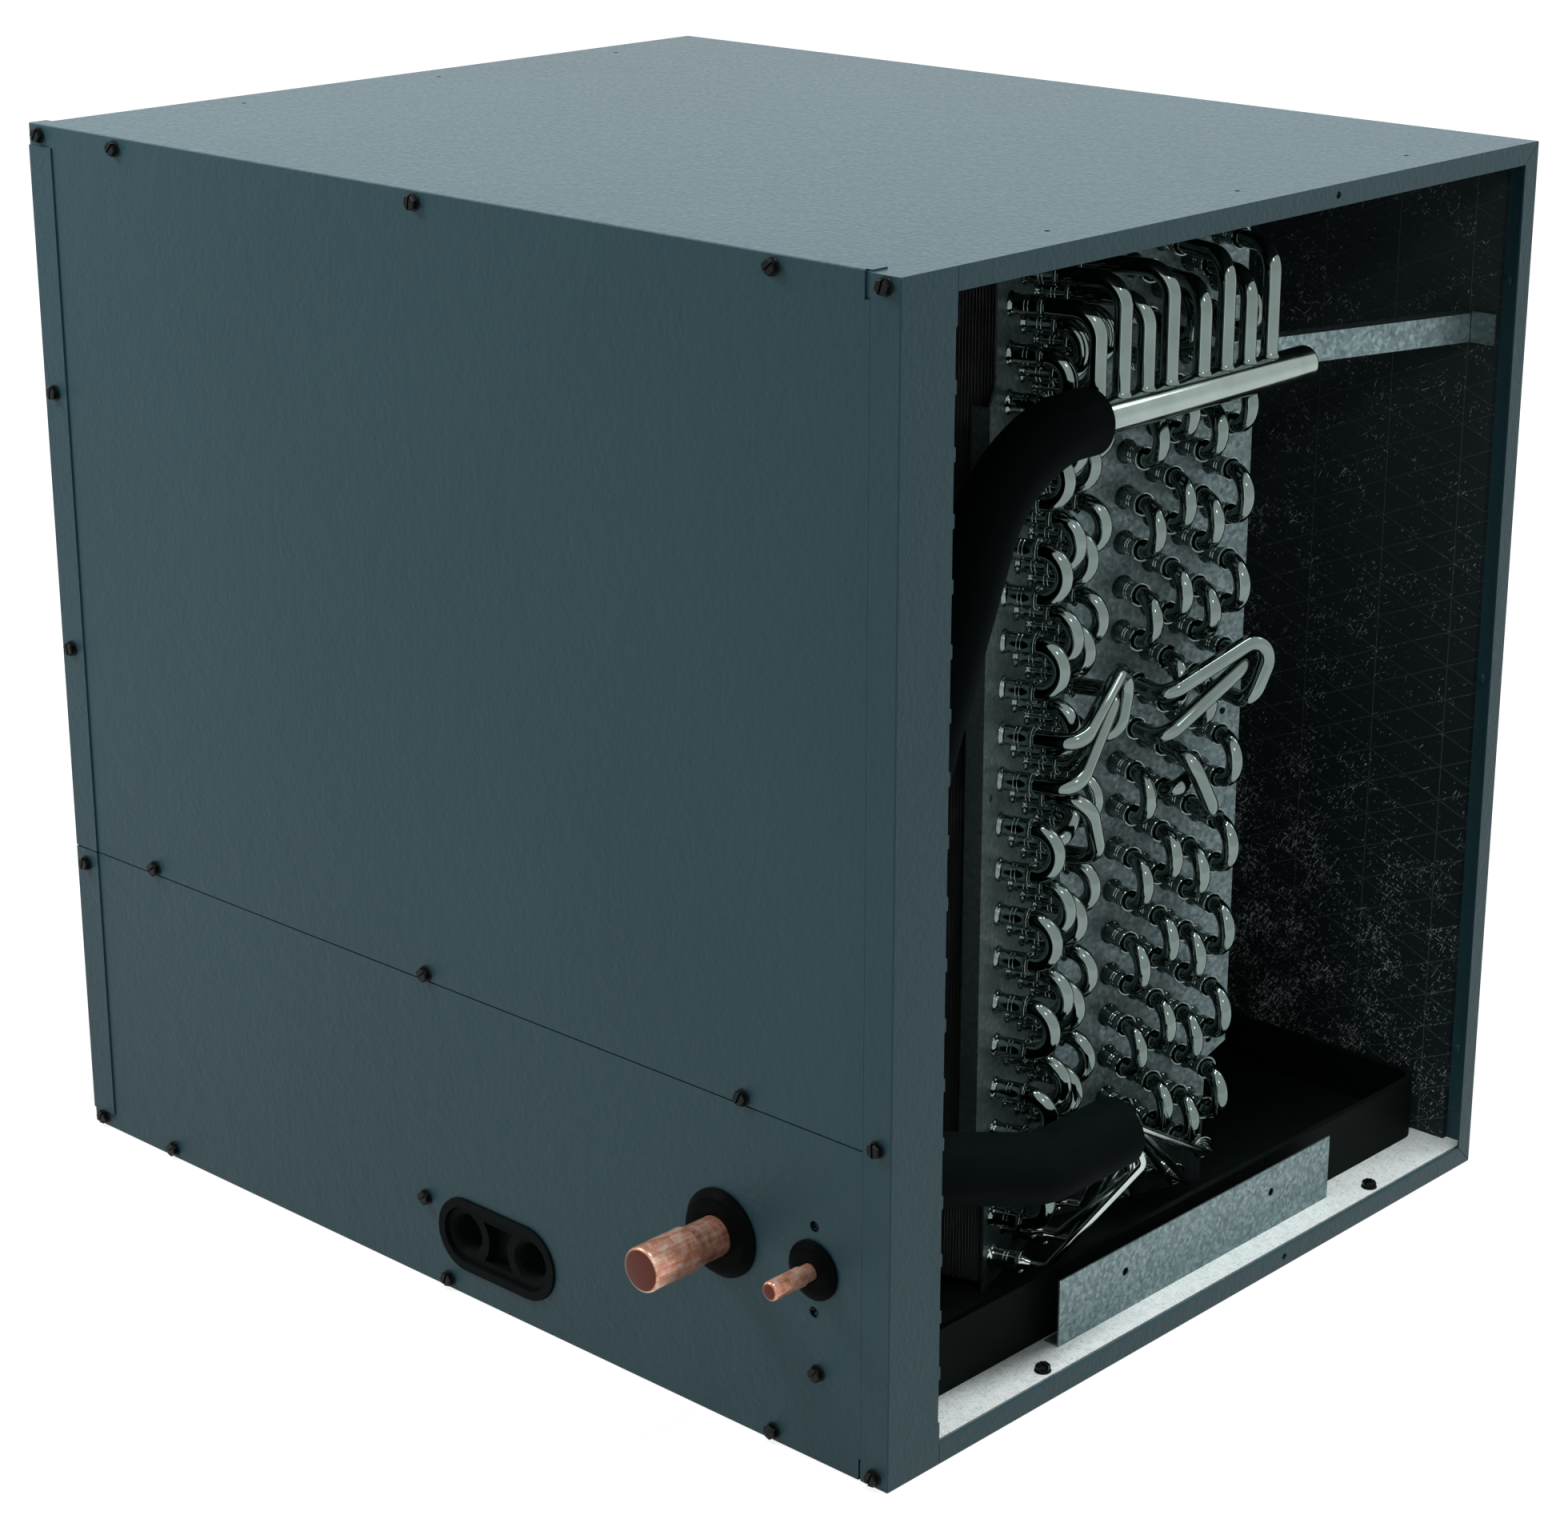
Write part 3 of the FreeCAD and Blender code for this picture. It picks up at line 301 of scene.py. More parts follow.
# Flared tube end that each bend is brazed into, from the sheet outwards
stub_profile = [
    (-0.4, 6.9), (0.3, 7.0), (0.9, 6.8), (1.4, 6.2), (2.2, 5.75), (3.4, 5.55),
    (8.6, 5.55), (8.9, 5.2), (9.3, 5.2), (9.6, 5.55), (10.7, 5.55), (11.0, 5.2), (11.4, 5.2), (11.7, 5.55),
    (15.6, 5.55), (16.4, 5.8), (17.2, 6.5), (17.7, 6.85), (18.2, 6.85), (18.4, 6.6), (18.3, 5.9), (17.2, 4.9),
    (16.4, 4.6)]
stub_sides = 20
bend_sides = 18
bend_steps = 16


def stub(side, row, k):
    origin = slab_point(side, 0, row_y(side, row), tube_z(row, k))
    return revolve(stub_profile, origin, slab_axis(side), stub_sides)


def half_turn(side, y, z_high, z_low, base, start, leg):
    """Path of a half-round bend between two tubes above each other."""
    centre_z = (z_high + z_low) / 2
    radius = (z_high - z_low) / 2
    out = 1 if leg > 0 else -1
    path = [slab_point(side, start, y, z_high)]
    for i in range(bend_steps + 1):
        a = math.pi / 2 - math.pi * i / bend_steps
        reach = base + leg + out * radius * math.cos(a)
        path.append(slab_point(side, reach, y, centre_z + radius * math.sin(a)))
    path.append(slab_point(side, start, y, z_low))
    return path


def return_bends(side):
    shape = Shape()
    for row in range(tube_rows):
        y = row_y(side, row)
        for k in range(1, tubes_per_row - 1, 2):
            if (row, k) in crossed:
                continue
            path = half_turn(side, y, tube_z(row, k), tube_z(row, k + 1), 0, bend_start, bell_out + bend_leg)
            shape.join(sweep(path, tube_radius, bend_sides))
            shape.join(stub(side, row, k))
            shape.join(stub(side, row, k + 1))
    return shape


def hairpins(side):
    shape = Shape()
    for row in range(tube_rows):
        y = row_y(side, row)
        for k in range(0, tubes_per_row, 2):
            path = half_turn(side, y, tube_z(row, k), tube_z(row, k + 1), rear_d, rear_d, -hairpin_leg)
            shape.join(sweep(path, tube_radius, bend_sides))
    return shape


# How far the crossing tubes stand out, how their corners are bent and where the loop's far corner is
loop_out = 44.0
loop_bend = 11.0
loop_corner_u = 21.0
loop_corner_z = 45.0
jumper_out = 42.6
jumper_bend = 12.0
short_out = 28.0
short_bend = 8.5
crossing_steps = 12


def crossovers(side):
    """Long looped tubes and short jumpers that cross between rows at mid height."""
    shape = Shape()

    def tube(points, radius):
        start = row_y(side, 0)
        path = [slab_point(side, d, start + u, z) for u, d, z in points]
        shape.join(sweep(arc_corners(path, radius, crossing_steps), tube_radius, bend_sides))

    def crossing(row_a, tube_a, row_b, tube_b, out):
        u_a = row_a * row_pitch
        u_b = row_b * row_pitch
        z_a = tube_z(row_a, tube_a)
        z_b = tube_z(row_b, tube_b)
        return [(u_a, bend_start, z_a), (u_a, out, z_a), (u_b, out, z_b), (u_b, bend_start, z_b)]

    looped = crossing(0, 9, 3, 10, loop_out)
    far = looped[2]
    looped.insert(2, (far[0] + loop_corner_u, loop_out, far[2] + loop_corner_z))
    tube(looped, loop_bend)
    tube(crossing(0, 10, 3, 9, jumper_out), jumper_bend)
    tube(crossing(1, 11, 2, 12, jumper_out), jumper_bend)
    tube(crossing(1, 12, 2, 11, short_out), short_bend)
    for row, k in sorted(crossed):
        shape.join(stub(side, row, k))
    return shape


feeder_bend = 14.0
feeder_steps = 12
feeder_sides = 20
# Brazed ring where a feeder meets the header
braze_profile = [(0, 4.7), (0.3, 5.6), (1.2, 5.5), (2.4, 4.9), (3.0, 4.7)]
braze_sunk = 1.4


def feeder_tubes():
    """One tube from the top of each row, over and down into the header."""
    shape = Shape()
    for side in (-1, 1):
        for row in range(tube_rows):
            y = row_y(side, row)
            z = tube_z(row, 0)
            base_x = slab_point(side, 0, y, z).x
            d = (header_x - base_x) / math.cos(turn)
            top = slab_point(side, d, y, z)
            path = [slab_point(side, bend_start, y, z), top, (top.x, top.y, header_z)]
            shape.join(sweep(arc_corners(path, feeder_bend, feeder_steps), tube_radius, feeder_sides))
            foot = (top.x, top.y, header_z + header_radius - braze_sunk)
            shape.join(revolve(braze_profile, foot, (0, 0, 1), feeder_sides))
            shape.join(stub(side, row, 0))
    return shape


def suction_header():
    """Header tube with a rounded far end."""
    length = header_y1 - header_y0
    profile = [(0, 6), (0, header_radius), (length - 3, header_radius), (length - 1.6, 9.2),
               (length - 0.6, 8.4), (length - 0.1, 7.2), (length, 5.8), (length - 0.4, 4.8),
               (length - 0.6, 2.5)]
    return revolve(profile, (header_x, header_y0, header_z), (0, 1, 0), header_sides)


def suction_line():
    """Suction tube along its route, then the stub with its groove and ridge."""
    inner = sweep(arc_corners(suction_route, suction_bend, suction_steps), suction_radius, 32)
    groove = suction_radius - 0.4
    ridge = suction_radius + 0.25
    profile = [(0, suction_radius - 0.5), (0, suction_radius), (24.5, suction_radius), (24.9, groove),
               (25.3, groove), (25.7, ridge), (27.4, ridge), (27.8, suction_radius),
               (suction_stub_length, suction_radius)]
    start = lip_back - suction_stub
    return inner.join(revolve(profile, (suction_x, start, suction_z), (0, 1, 0), 48))


# Foam: length of its steps, how fast its radius changes along it, and its corners at the ends
foam_step = 6.0
foam_drift = 0.16
foam_sides = 40
lip_round = 0.8
lip_depth = -0.25
lip_inside = 9.0


def foam_swell(seed, amount):
    """Uneven radius of a foam sleeve, smooth around it and along it."""
    def swell(step, angle):
        spot = Vector((math.cos(angle) + seed, math.sin(angle), step * foam_drift))
        return 1.0 + amount * noise.noise(spot)
    return swell


def spaced(path, step):
    """Points along a path no further than step apart."""
    result = [Vector(path[0])]
    for a, b in zip(path, path[1:]):
        a = Vector(a)
        b = Vector(b)
        count = max(1, math.ceil((b - a).length / step))
        result += [a.lerp(b, (i + 1) / count) for i in range(count)]
    return result


def foam_tube(path, radius, bore, swell):
    """Foam sleeve along a path, with soft edges at its open ends."""
    path = spaced(path, foam_step)
    sides = foam_sides
    outer = sweep(path, radius, sides, swell)
    # The flat ends make way for rounded lips
    outer.faces = outer.faces[:-2]
    first = outer.points[:sides]
    last = outer.points[-sides:]
    for ring, centre, inward in ((first, path[0], path[2] - path[0]), (last, path[-1], path[-3] - path[-1])):
        inward = inward.normalized()
        lips = [ring]
        for reach, depth in ((radius - lip_round, lip_depth), (bore + 0.9, lip_depth), (bore, 0.5),
                             (bore, lip_inside)):
            lips.append([centre + inward * depth + (p - centre).normalized() * reach for p in ring])
        faces = []
        for step in range(len(lips) - 1):
            faces += ring_faces(step * sides, (step + 1) * sides, sides)
        outer.add([p for lip in lips for p in lip], faces)
    return outer


def suction_sleeve():
    path = arc_corners(suction_route, suction_bend, suction_steps)
    path[0] = path[0] + Vector((0, -sleeve_gap, 0))
    return foam_tube(path, foam_radius, suction_radius + foam_clear, foam_swell(3.0, 0.035))


def cup(x, z, radius, wall, y_end, y_start, sides):
    """Copper cup over the end of a stub, open towards the casing."""
    outer = radius + wall
    inner = radius + 0.05
    length = y_start - y_end
    profile = [(1.4 * wall, 0.4), (0.05, 0.4), (0.0, outer - 2.6), (0.25, outer - 1.5), (0.9, outer - 0.5),
               (1.9, outer), (length - 2.4, outer), (length - 1.2, outer + 0.12),
               (length - 0.35, outer + 0.05), (length, outer - 0.3), (length, inner), (length - 3.0, inner),
               (2.0, inner)]
    return revolve(profile, (x, y_end, z), (0, 1, 0), sides, closed=True)


def grommet(x, z, hole, flange, nose, nose_out, tube):
    """Rubber grommet with a cone nose, flange, neck and inner lip."""
    out = -half_w - nose_out
    bore = tube + 0.35
    neck = hole - 0.25
    lip = hole + 1.0
    profile = [
        (0.8, bore), (0.2, tube + 0.6), (0.0, tube + 1.2), (0.0, nose - 1.4), (0.35, nose - 0.5),
        (1.0, nose), (nose_out - 2.3, flange - 1.1), (nose_out - 1.9, flange - 0.5), (nose_out - 1.4, flange),
        (nose_out - 0.5, flange), (nose_out, flange - 0.4), (nose_out, neck), (nose_out + 1.1, neck),
        (nose_out + 1.1, lip), (nose_out + 2.9, lip), (nose_out + 2.9, bore)]
    return revolve(profile, (x, out, z), (0, 1, 0), 64, closed=True)


def liquid_line():
    """Liquid tube from the panel to the metering body, then the stub with its groove and ridge."""
    inner_y = lip_back + liquid_lead_start
    lead = sleeve_start.lerp(sleeve_turn, liquid_ahead)
    path = [(liquid_x, inner_y, liquid_z), (liquid_x, inner_y + liquid_lead, liquid_z), lead, sleeve_turn,
            meter_start]
    shape = sweep(arc_corners(path, liquid_bend, 8), liquid_radius, 20)
    groove = liquid_radius - 0.25
    ridge = liquid_radius + 0.15
    profile = [(0, liquid_radius - 0.4), (0, liquid_radius), (16.0, liquid_radius), (16.3, groove),
               (16.7, groove), (17.0, ridge), (18.2, ridge), (18.5, liquid_radius),
               (liquid_stub_length, liquid_radius)]
    start = liquid_cap_end + liquid_stub_gap
    return shape.join(revolve(profile, (liquid_x, start, liquid_z), (0, 1, 0), 32))


def metering_body():
    length = meter_length
    profile = [(0, 6), (0, 8.6), (0.4, 9), (11.6, 9), (12, 8), (12.6, 6.5), (length - 12, 6.5),
               (length - 1, distributor_radius), (length + 12.5, distributor_radius),
               (length + distributor_length, distributor_radius - 1.2), (length + distributor_length, 1.0)]
    return revolve(profile, meter_start, (0, 1, 0), 36)


def liquid_sleeve():
    path = arc_corners([sleeve_start, sleeve_turn, sleeve_finish], sleeve_bend, 10)
    return foam_tube(path, sleeve_radius, distributor_radius + foam_clear, foam_swell(8.0, 0.03))


# Swaged plug that joins a capillary to its flared tube end
plug_profile = [(15, 2.2), (16, 4.7), (17.6, 4.7), (20.0, 3.4), (22.5, 2.6), (23.5, 2.2)]


def capillaries():
    """Thin feed tubes from the distributor to the lowest tube of each row."""
    rows = list(reversed(range(tube_rows)))
    places = [(1, row) for row in rows] + [(-1, row) for row in rows]
    face = meter_start + Vector((0, meter_length + distributor_length, 0))
    shape = Shape()
    for index, (side, row) in enumerate(places):
        y = row_y(side, row)
        z = tube_z(row, tubes_per_row - 1)
        angle = 2 * math.pi * (index + 0.5) / len(places)
        spoke = Vector((math.cos(angle), 0, math.sin(angle)))
        start = face + spoke * (distributor_radius - capillary_inset)
        points = [start, start + Vector((0, capillary_lead, 0))]
        if side < 0:
            points.append(points[-1] + spoke * capillary_spread + capillary_drop)
        points += [slab_point(side, bell_out + capillary_reach, y, z), slab_point(side, bend_start, y, z)]
        shape.join(sweep(arc_corners(points, capillary_bend, 8), capillary_radius, 12))
        shape.join(revolve(plug_profile, slab_point(side, 0, y, z), slab_axis(side), 20))
        shape.join(stub(side, row, tubes_per_row - 1))
    return shape


# Fins
fin_pitch = 1.8
fin_sheet = 0.16
fin_wave = 0.55
fin_bends = 12


def fin_pack(side):
    """Thin corrugated fins across the slab, one closed sheet each."""
    shape = Shape()
    y0 = first_row - row_pitch / 2
    width = tube_rows * row_pitch
    count = int(fin_length / fin_pitch)
    for n in range(count):
        d = -end_sheet - fin_pitch * (n + 0.5)
        points = []
        for i in range(fin_bends + 1):
            wave = fin_wave * (1 if i % 2 else -1)
            y = side * (y0 + width * i / fin_bends)
            for offset in (-fin_sheet / 2, fin_sheet / 2):
                for z in (coil_bottom, coil_top):
                    points.append(slab_point(side, d + wave + offset, y, z))
        faces = []
        for i in range(fin_bends):
            a = 4 * i
            b = a + 4
            faces += [[a, b, b + 1, a + 1], [a + 2, a + 3, b + 3, b + 2], [a, a + 2, b + 2, b],
                      [a + 1, b + 1, b + 3, a + 3]]
        end = 4 * fin_bends
        faces += [[0, 1, 3, 2], [end, end + 2, end + 3, end + 1]]
        shape.add(points, faces)
    return shape


# Screws

def hexagon(flats):
    corner = flats / math.sqrt(3)
    angles = [math.radians(60 * i) for i in range(6)]
    return [Vector((corner * math.cos(a), corner * math.sin(a))) for a in angles]


def clipped_hexagon(flats, limit):
    """Corners of the part of a hexagon that lies beyond y = limit."""
    points = hexagon(flats)
    result = []
    for a, b in zip(points, points[1:] + points[:1]):
        if a.y >= limit:
            result.append(a)
        if (a.y - limit) * (b.y - limit) < 0:
            result.append(a.lerp(b, (limit - a.y) / (b.y - a.y)))
    return result


def prism(outline, levels):
    """Stacked outlines, each scaled, as a closed solid; levels are (z, scale)."""
    count = len(outline)
    points = [Vector((p.x * scale, p.y * scale, z)) for z, scale in levels for p in outline]
    faces = []
    for step in range(len(levels) - 1):
        faces += ring_faces(step * count, (step + 1) * count, count)
    last = (len(levels) - 1) * count
    faces.append(list(range(count)))
    faces.append([last + i for i in range(count)])
    shape = Shape()
    shape.add(points, faces)
    return shape


def screw_head():
    """Flanged hexagon head with a slot, standing on the XY plane."""
    shape = revolve([(0, head_flange - 0.1), (0.5, head_flange), (0.9, head_flange - 0.2), (1.2, 3.2)],
                    (0, 0, 0), (0, 0, 1), 24)
    shape.join(prism(hexagon(head_flats), [(0.6, 1.0), (head_height - slot_depth, 1.0)]))
    half = clipped_hexagon(head_flats, slot_width / 2)
    levels = [(head_height - slot_depth - 0.1, 1.0), (head_height - 0.7, 1.0), (head_height, 0.9)]
    upper = prism(half, levels)
    shape.join(upper)
    shape.join(upper.moved(Matrix.Rotation(math.pi, 4, "Z")))
    return shape


def panel_screws():
    shape = Shape()
    head = screw_head()
    turns = random.Random(7)
    places = [(x, -half_w, z) for x, z in flush_screws] + [(x, -half_w - sheet, z) for x, z in raised_screws]
    for spot in places:
        spin = Matrix.Rotation(math.radians(60 + turns.uniform(-25, 45)), 4, "Z")
        shape.join(head.moved(Matrix.Translation(spot) @ Matrix.Rotation(math.pi / 2, 4, "X") @ spin))
    return shape


def floor_screw_heads():
    shape = Shape()
    head = screw_head()
    turns = random.Random(11)
    for x, y in floor_screws:
        spin = Matrix.Rotation(turns.uniform(0, math.pi), 4, "Z")
        shape.join(head.moved(Matrix.Translation((x, y, floor_top)) @ spin))
    return shape


def brace_tab():
    """Part of the brace's tab that shows on the back wall."""
    x0, x1 = tab_x
    y0, y1 = tab_y
    plan = [Vector(p) for p in ((x0, y0), (x1, y0), (x1, y1), (x0, y1))]
    return prism(plan, [(z, 1.0) for z in tab_z])


rivet_profile = [(0, 0.1), (0, 1.6), (0.15, 2.2), (0.6, 2.65), (1.2, 2.8), (1.2, 0.1)]
rivet_height = 1.2
rivet_inset = 12.7
rivet_low = 70.5
rivet_pitch = 235.5


def rivets():
    shape = Shape()
    for end in (-1, 1):
        for i in range(3):
            z = rivet_low + i * rivet_pitch
            origin = (end * (half_l - rivet_inset), half_w - sheet - rivet_height, z)
            shape.join(revolve(rivet_profile, origin, (0, 1, 0), 24))
    return shape


drain_x = 40.6
drain_z = 38.0
drain_pitch = 51.7
drain_out = 1.5
thread_start = 4.0
thread_end = 19.0
thread_pitch = 1.8
thread_root = 11.5
thread_crest = 10.7
thread_back = 11.75


def drain_threads():
    """Thread ridges inside both drain ports."""
    shape = Shape()
    outer = -half_w - drain_out
    for side in (-1, 1):
        x = drain_x + side * drain_pitch / 2
        profile = [(thread_start, thread_back)]
        t = thread_start
        while t < thread_end:
            profile += [(t, thread_root), (t + 0.75, thread_crest), (t + 1.05, thread_crest),
                        (t + thread_pitch, thread_root)]
            t += thread_pitch
        profile += [(t, thread_back)]
        shape.join(revolve(profile, (x, outer, drain_z), (0, 1, 0), 48, closed=True))
    return shape


# Materials

# The liners' thread grid in metres: one crossing, the spacing of the upright and of the slanted threads,
# the unit normal of the slanted ones and the width of a thread
grid_node = (0.2461, 0.0, 0.5397)
grid_step = 0.0498
grid_slant = 0.01925
grid_across = 0.3867
grid_up = 0.9222
grid_line = 0.0005


def new_material(name, colour, metallic, roughness):
    material = bpy.data.materials.new(name)
    material.use_nodes = True
    shader = material.node_tree.nodes["Principled BSDF"]
    shader.inputs["Base Color"].default_value = (*colour, 1)
    shader.inputs["Metallic"].default_value = metallic
    shader.inputs["Roughness"].default_value = roughness
    return material, material.node_tree, shader


def add(tree, kind, values=None, **settings):
    """Node with its settings and its inputs set or linked."""
    node = tree.nodes.new(kind)
    for key, value in settings.items():
        setattr(node, key, value)
    for key, value in (values or {}).items():
        if isinstance(value, bpy.types.NodeSocket):
            tree.links.new(value, node.inputs[key])
        else:
            node.inputs[key].default_value = value
    return node


def place(tree):
    """Point on the object, in metres."""
    return add(tree, "ShaderNodeTexCoord").outputs["Object"]


def grain(tree, coords, size, detail=2.0, roughness=0.5, distortion=0.0, stretch=(1, 1, 1)):
    """Noise whose features are about size metres across."""
    if stretch != (1, 1, 1):
        coords = add(tree, "ShaderNodeMapping", {"Vector": coords, "Scale": stretch}).outputs["Vector"]
    node = add(tree, "ShaderNodeTexNoise", {"Vector": coords, "Scale": 1 / size, "Detail": detail,
                                            "Roughness": roughness, "Distortion": distortion})
    return node.outputs["Fac"]


def math_node(tree, operation, a, b=0.0, clamp=False):
    node = add(tree, "ShaderNodeMath", {0: a, 1: b}, operation=operation, use_clamp=clamp)
    return node.outputs[0]


def remap(tree, value, low, high, to_low, to_high):
    node = add(tree, "ShaderNodeMapRange", {"Value": value, "From Min": low, "From Max": high,
                                            "To Min": to_low, "To Max": to_high})
    return node.outputs["Result"]


def blend(tree, a, b, share):
    """Weighted mean of two values, with the share of the first."""
    first = math_node(tree, "MULTIPLY", a, share)
    second = math_node(tree, "MULTIPLY", b, 1 - share)
    return math_node(tree, "ADD", first, second)


def ramp(tree, value, stops):
    node = add(tree, "ShaderNodeValToRGB", {"Fac": value})
    elements = node.color_ramp.elements
    while len(elements) < len(stops):
        elements.new(0.5)
    for element, (position, colour) in zip(elements, stops):
        element.position = position
        element.color = (*colour, 1)
    return node.outputs["Color"]


def mix(tree, factor, a, b):
    node = add(tree, "ShaderNodeMix", {"Factor": factor}, data_type="RGBA")
    for socket, value in ((node.inputs[6], a), (node.inputs[7], b)):
        if isinstance(value, bpy.types.NodeSocket):
            tree.links.new(value, socket)
        else:
            socket.default_value = (*value, 1)
    return node.outputs[2]


def bump(tree, shader, height, strength, distance, below=None):
    values = {"Height": height, "Strength": strength, "Distance": distance}
    if below is not None:
        values["Normal"] = below
    normal = add(tree, "ShaderNodeBump", values).outputs["Normal"]
    tree.links.new(normal, shader.inputs["Normal"])
    return normal


def thread_lines(tree, coords, sets, width):
    """Mask of thin parallel lines; each set is the unit normal of its lines and their spacing."""
    result = None
    for normal, spacing in sets:
        scaled = tuple(v / spacing for v in normal)
        along = add(tree, "ShaderNodeVectorMath", {0: coords, 1: scaled}, operation="DOT_PRODUCT")
        wave = math_node(tree, "PINGPONG", along.outputs["Value"], 0.5)
        line = remap(tree, wave, 0.0, width / spacing, 1.0, 0.0)
        result = line if result is None else math_node(tree, "MAXIMUM", result, line)
    return result


def dashes(tree, coords, turns, length, width, level, extra=None):
    """Mask of thin straight dashes, one lay of them per rotation; level is the cut, extra adds more of them.
    """
    result = None
    for turn_by in turns:
        turned = add(tree, "ShaderNodeMapping", {"Vector": coords, "Rotation": turn_by}).outputs["Vector"]
        value = grain(tree, turned, width * 2, 1.0, 0.5, 0.0, (width / length, 1, 1))
        if extra is not None:
            value = math_node(tree, "ADD", value, extra)
        dash = remap(tree, value, level, level + 0.02, 0.0, 1.0)
        result = dash if result is None else math_node(tree, "MAXIMUM", result, dash)
    return result


def seen_directly(tree):
    """1 on camera, glossy and transmission rays, 0 on the others."""
    path = add(tree, "ShaderNodeLightPath").outputs
    either = math_node(tree, "MAXIMUM", path["Is Camera Ray"], path["Is Glossy Ray"])
    return math_node(tree, "MAXIMUM", either, path["Is Transmission Ray"])


def casing_paint():
    material, tree, shader = new_material("casing_paint", (0.028, 0.073, 0.092), 0.0, 0.42)
    coords = place(tree)
    fine = grain(tree, coords, 0.0030, 3.0, 0.55)
    broad = grain(tree, coords, 0.16, 3.0, 0.5)
    tone = blend(tree, fine, broad, 0.45)
    colour = ramp(tree, tone, [(0.3, (0.019, 0.067, 0.084)), (0.7, (0.026, 0.082, 0.101))])
    tree.links.new(colour, shader.inputs["Base Color"])
    tree.links.new(remap(tree, fine, 0.3, 0.7, 0.38, 0.50), shader.inputs["Roughness"])
    shader.inputs["Specular IOR Level"].default_value = 0.25
    low = bump(tree, shader, grain(tree, coords, 0.012, 2.0, 0.5), 0.25, 0.0014)
    bump(tree, shader, fine, 0.35, 0.0008, low)
    return material


def galvanised(name, gain):
    """Zinc coated sheet with fine spangles; gain scales its colour, which makes lit and shaded copies as
    painted light and shade.
    """
    material, tree, shader = new_material(name, (0.15 * gain, 0.19 * gain, 0.20 * gain), 0.85, 0.42)
    coords = place(tree)
    cells = add(tree, "ShaderNodeTexVoronoi", {"Vector": coords, "Scale": 420.0, "Randomness": 1.0})
    cell = add(tree, "ShaderNodeSeparateColor", {"Color": cells.outputs["Color"]}).outputs["Red"]
    cloud = grain(tree, coords, 0.0036, 5.0, 0.7, 0.4)
    tone = blend(tree, cell, cloud, 0.25)
    stops = [(0.28, (0.080, 0.119, 0.126)), (0.5, (0.138, 0.192, 0.200)), (0.75, (0.25, 0.325, 0.332))]
    colour = ramp(tree, tone, [(at, tuple(v * gain for v in shade)) for at, shade in stops])
    tree.links.new(colour, shader.inputs["Base Color"])
    tree.links.new(remap(tree, tone, 0.2, 0.8, 0.55, 0.36), shader.inputs["Roughness"])
    bump(tree, shader, cloud, 0.15, 0.0002)
    return material


def black_foil():
    """Black foil on a thread grid, with painted glints, painted light higher up and painted shade at the
    front.
    """
    material, tree, shader = new_material("black_foil_liner", (0.005, 0.0075, 0.008), 0.0, 0.3)
    shift = add(tree, "ShaderNodeVectorMath", {0: place(tree), 1: grid_node}, operation="SUBTRACT")
    coords = shift.outputs["Vector"]
    lines = thread_lines(tree, coords, [((1, 0, 0), grid_step), ((-grid_across, 0, grid_up), grid_slant),
                                        ((grid_across, 0, grid_up), grid_slant)], grid_line)
    split = add(tree, "ShaderNodeSeparateXYZ", {"Vector": coords}).outputs
    # Painted glints: bright dashes stand in for light caught by the crinkled foil, with more of them low down
    # and towards -X
    depth = remap(tree, split["Z"], -0.45, -0.15, 0.042, -0.01)
    inward = remap(tree, split["X"], -0.15, 0.05, 0.05, 0.0)
    patches = remap(tree, grain(tree, coords, 0.03, 3.0, 0.6), 0.40, 0.62, -0.06, 0.02)
    glint_amount = math_node(tree, "ADD", patches, math_node(tree, "ADD", depth, inward))
    short_glints = dashes(tree, coords, [(0, 0.95, 0), (0, 1.25, 0), (0, -0.35, 0)], 0.0024, 0.00022, 0.755, glint_amount)
    long_glints = dashes(tree, coords, [(0, 0.45, 0), (0, 0.62, 0)], 0.0075, 0.00022, 0.80)
    painted_glints = math_node(tree, "MAXIMUM", short_glints, long_glints)
    # Painted light: the foil's colour gets lighter higher up
    painted_light_by_height = ramp(tree, remap(tree, split["Z"], -0.30, 0.08, 0.0, 1.0),
                 [(0.0, (0.020, 0.032, 0.034)), (1.0, (0.050, 0.070, 0.074))])
    # Painted shade: the foil darkens towards the front wall (low y)
    painted_shade_front = mix(tree, remap(tree, split["Y"], -0.2, 0.2, 0.0, 1.0), (0.006, 0.010, 0.011), painted_light_by_height)
    base = mix(tree, lines, painted_shade_front, (0.085, 0.105, 0.105))
    tree.links.new(mix(tree, painted_glints, base, (0.90, 1.0, 1.0)), shader.inputs["Base Color"])
    shader.inputs["Specular IOR Level"].default_value = 0.08
    crumple = grain(tree, coords, 0.02, 4.0, 0.6, 1.2)
    low = bump(tree, shader, crumple, 0.3, 0.003)
    bump(tree, shader, lines, 0.5, 0.0006, low)
    return material


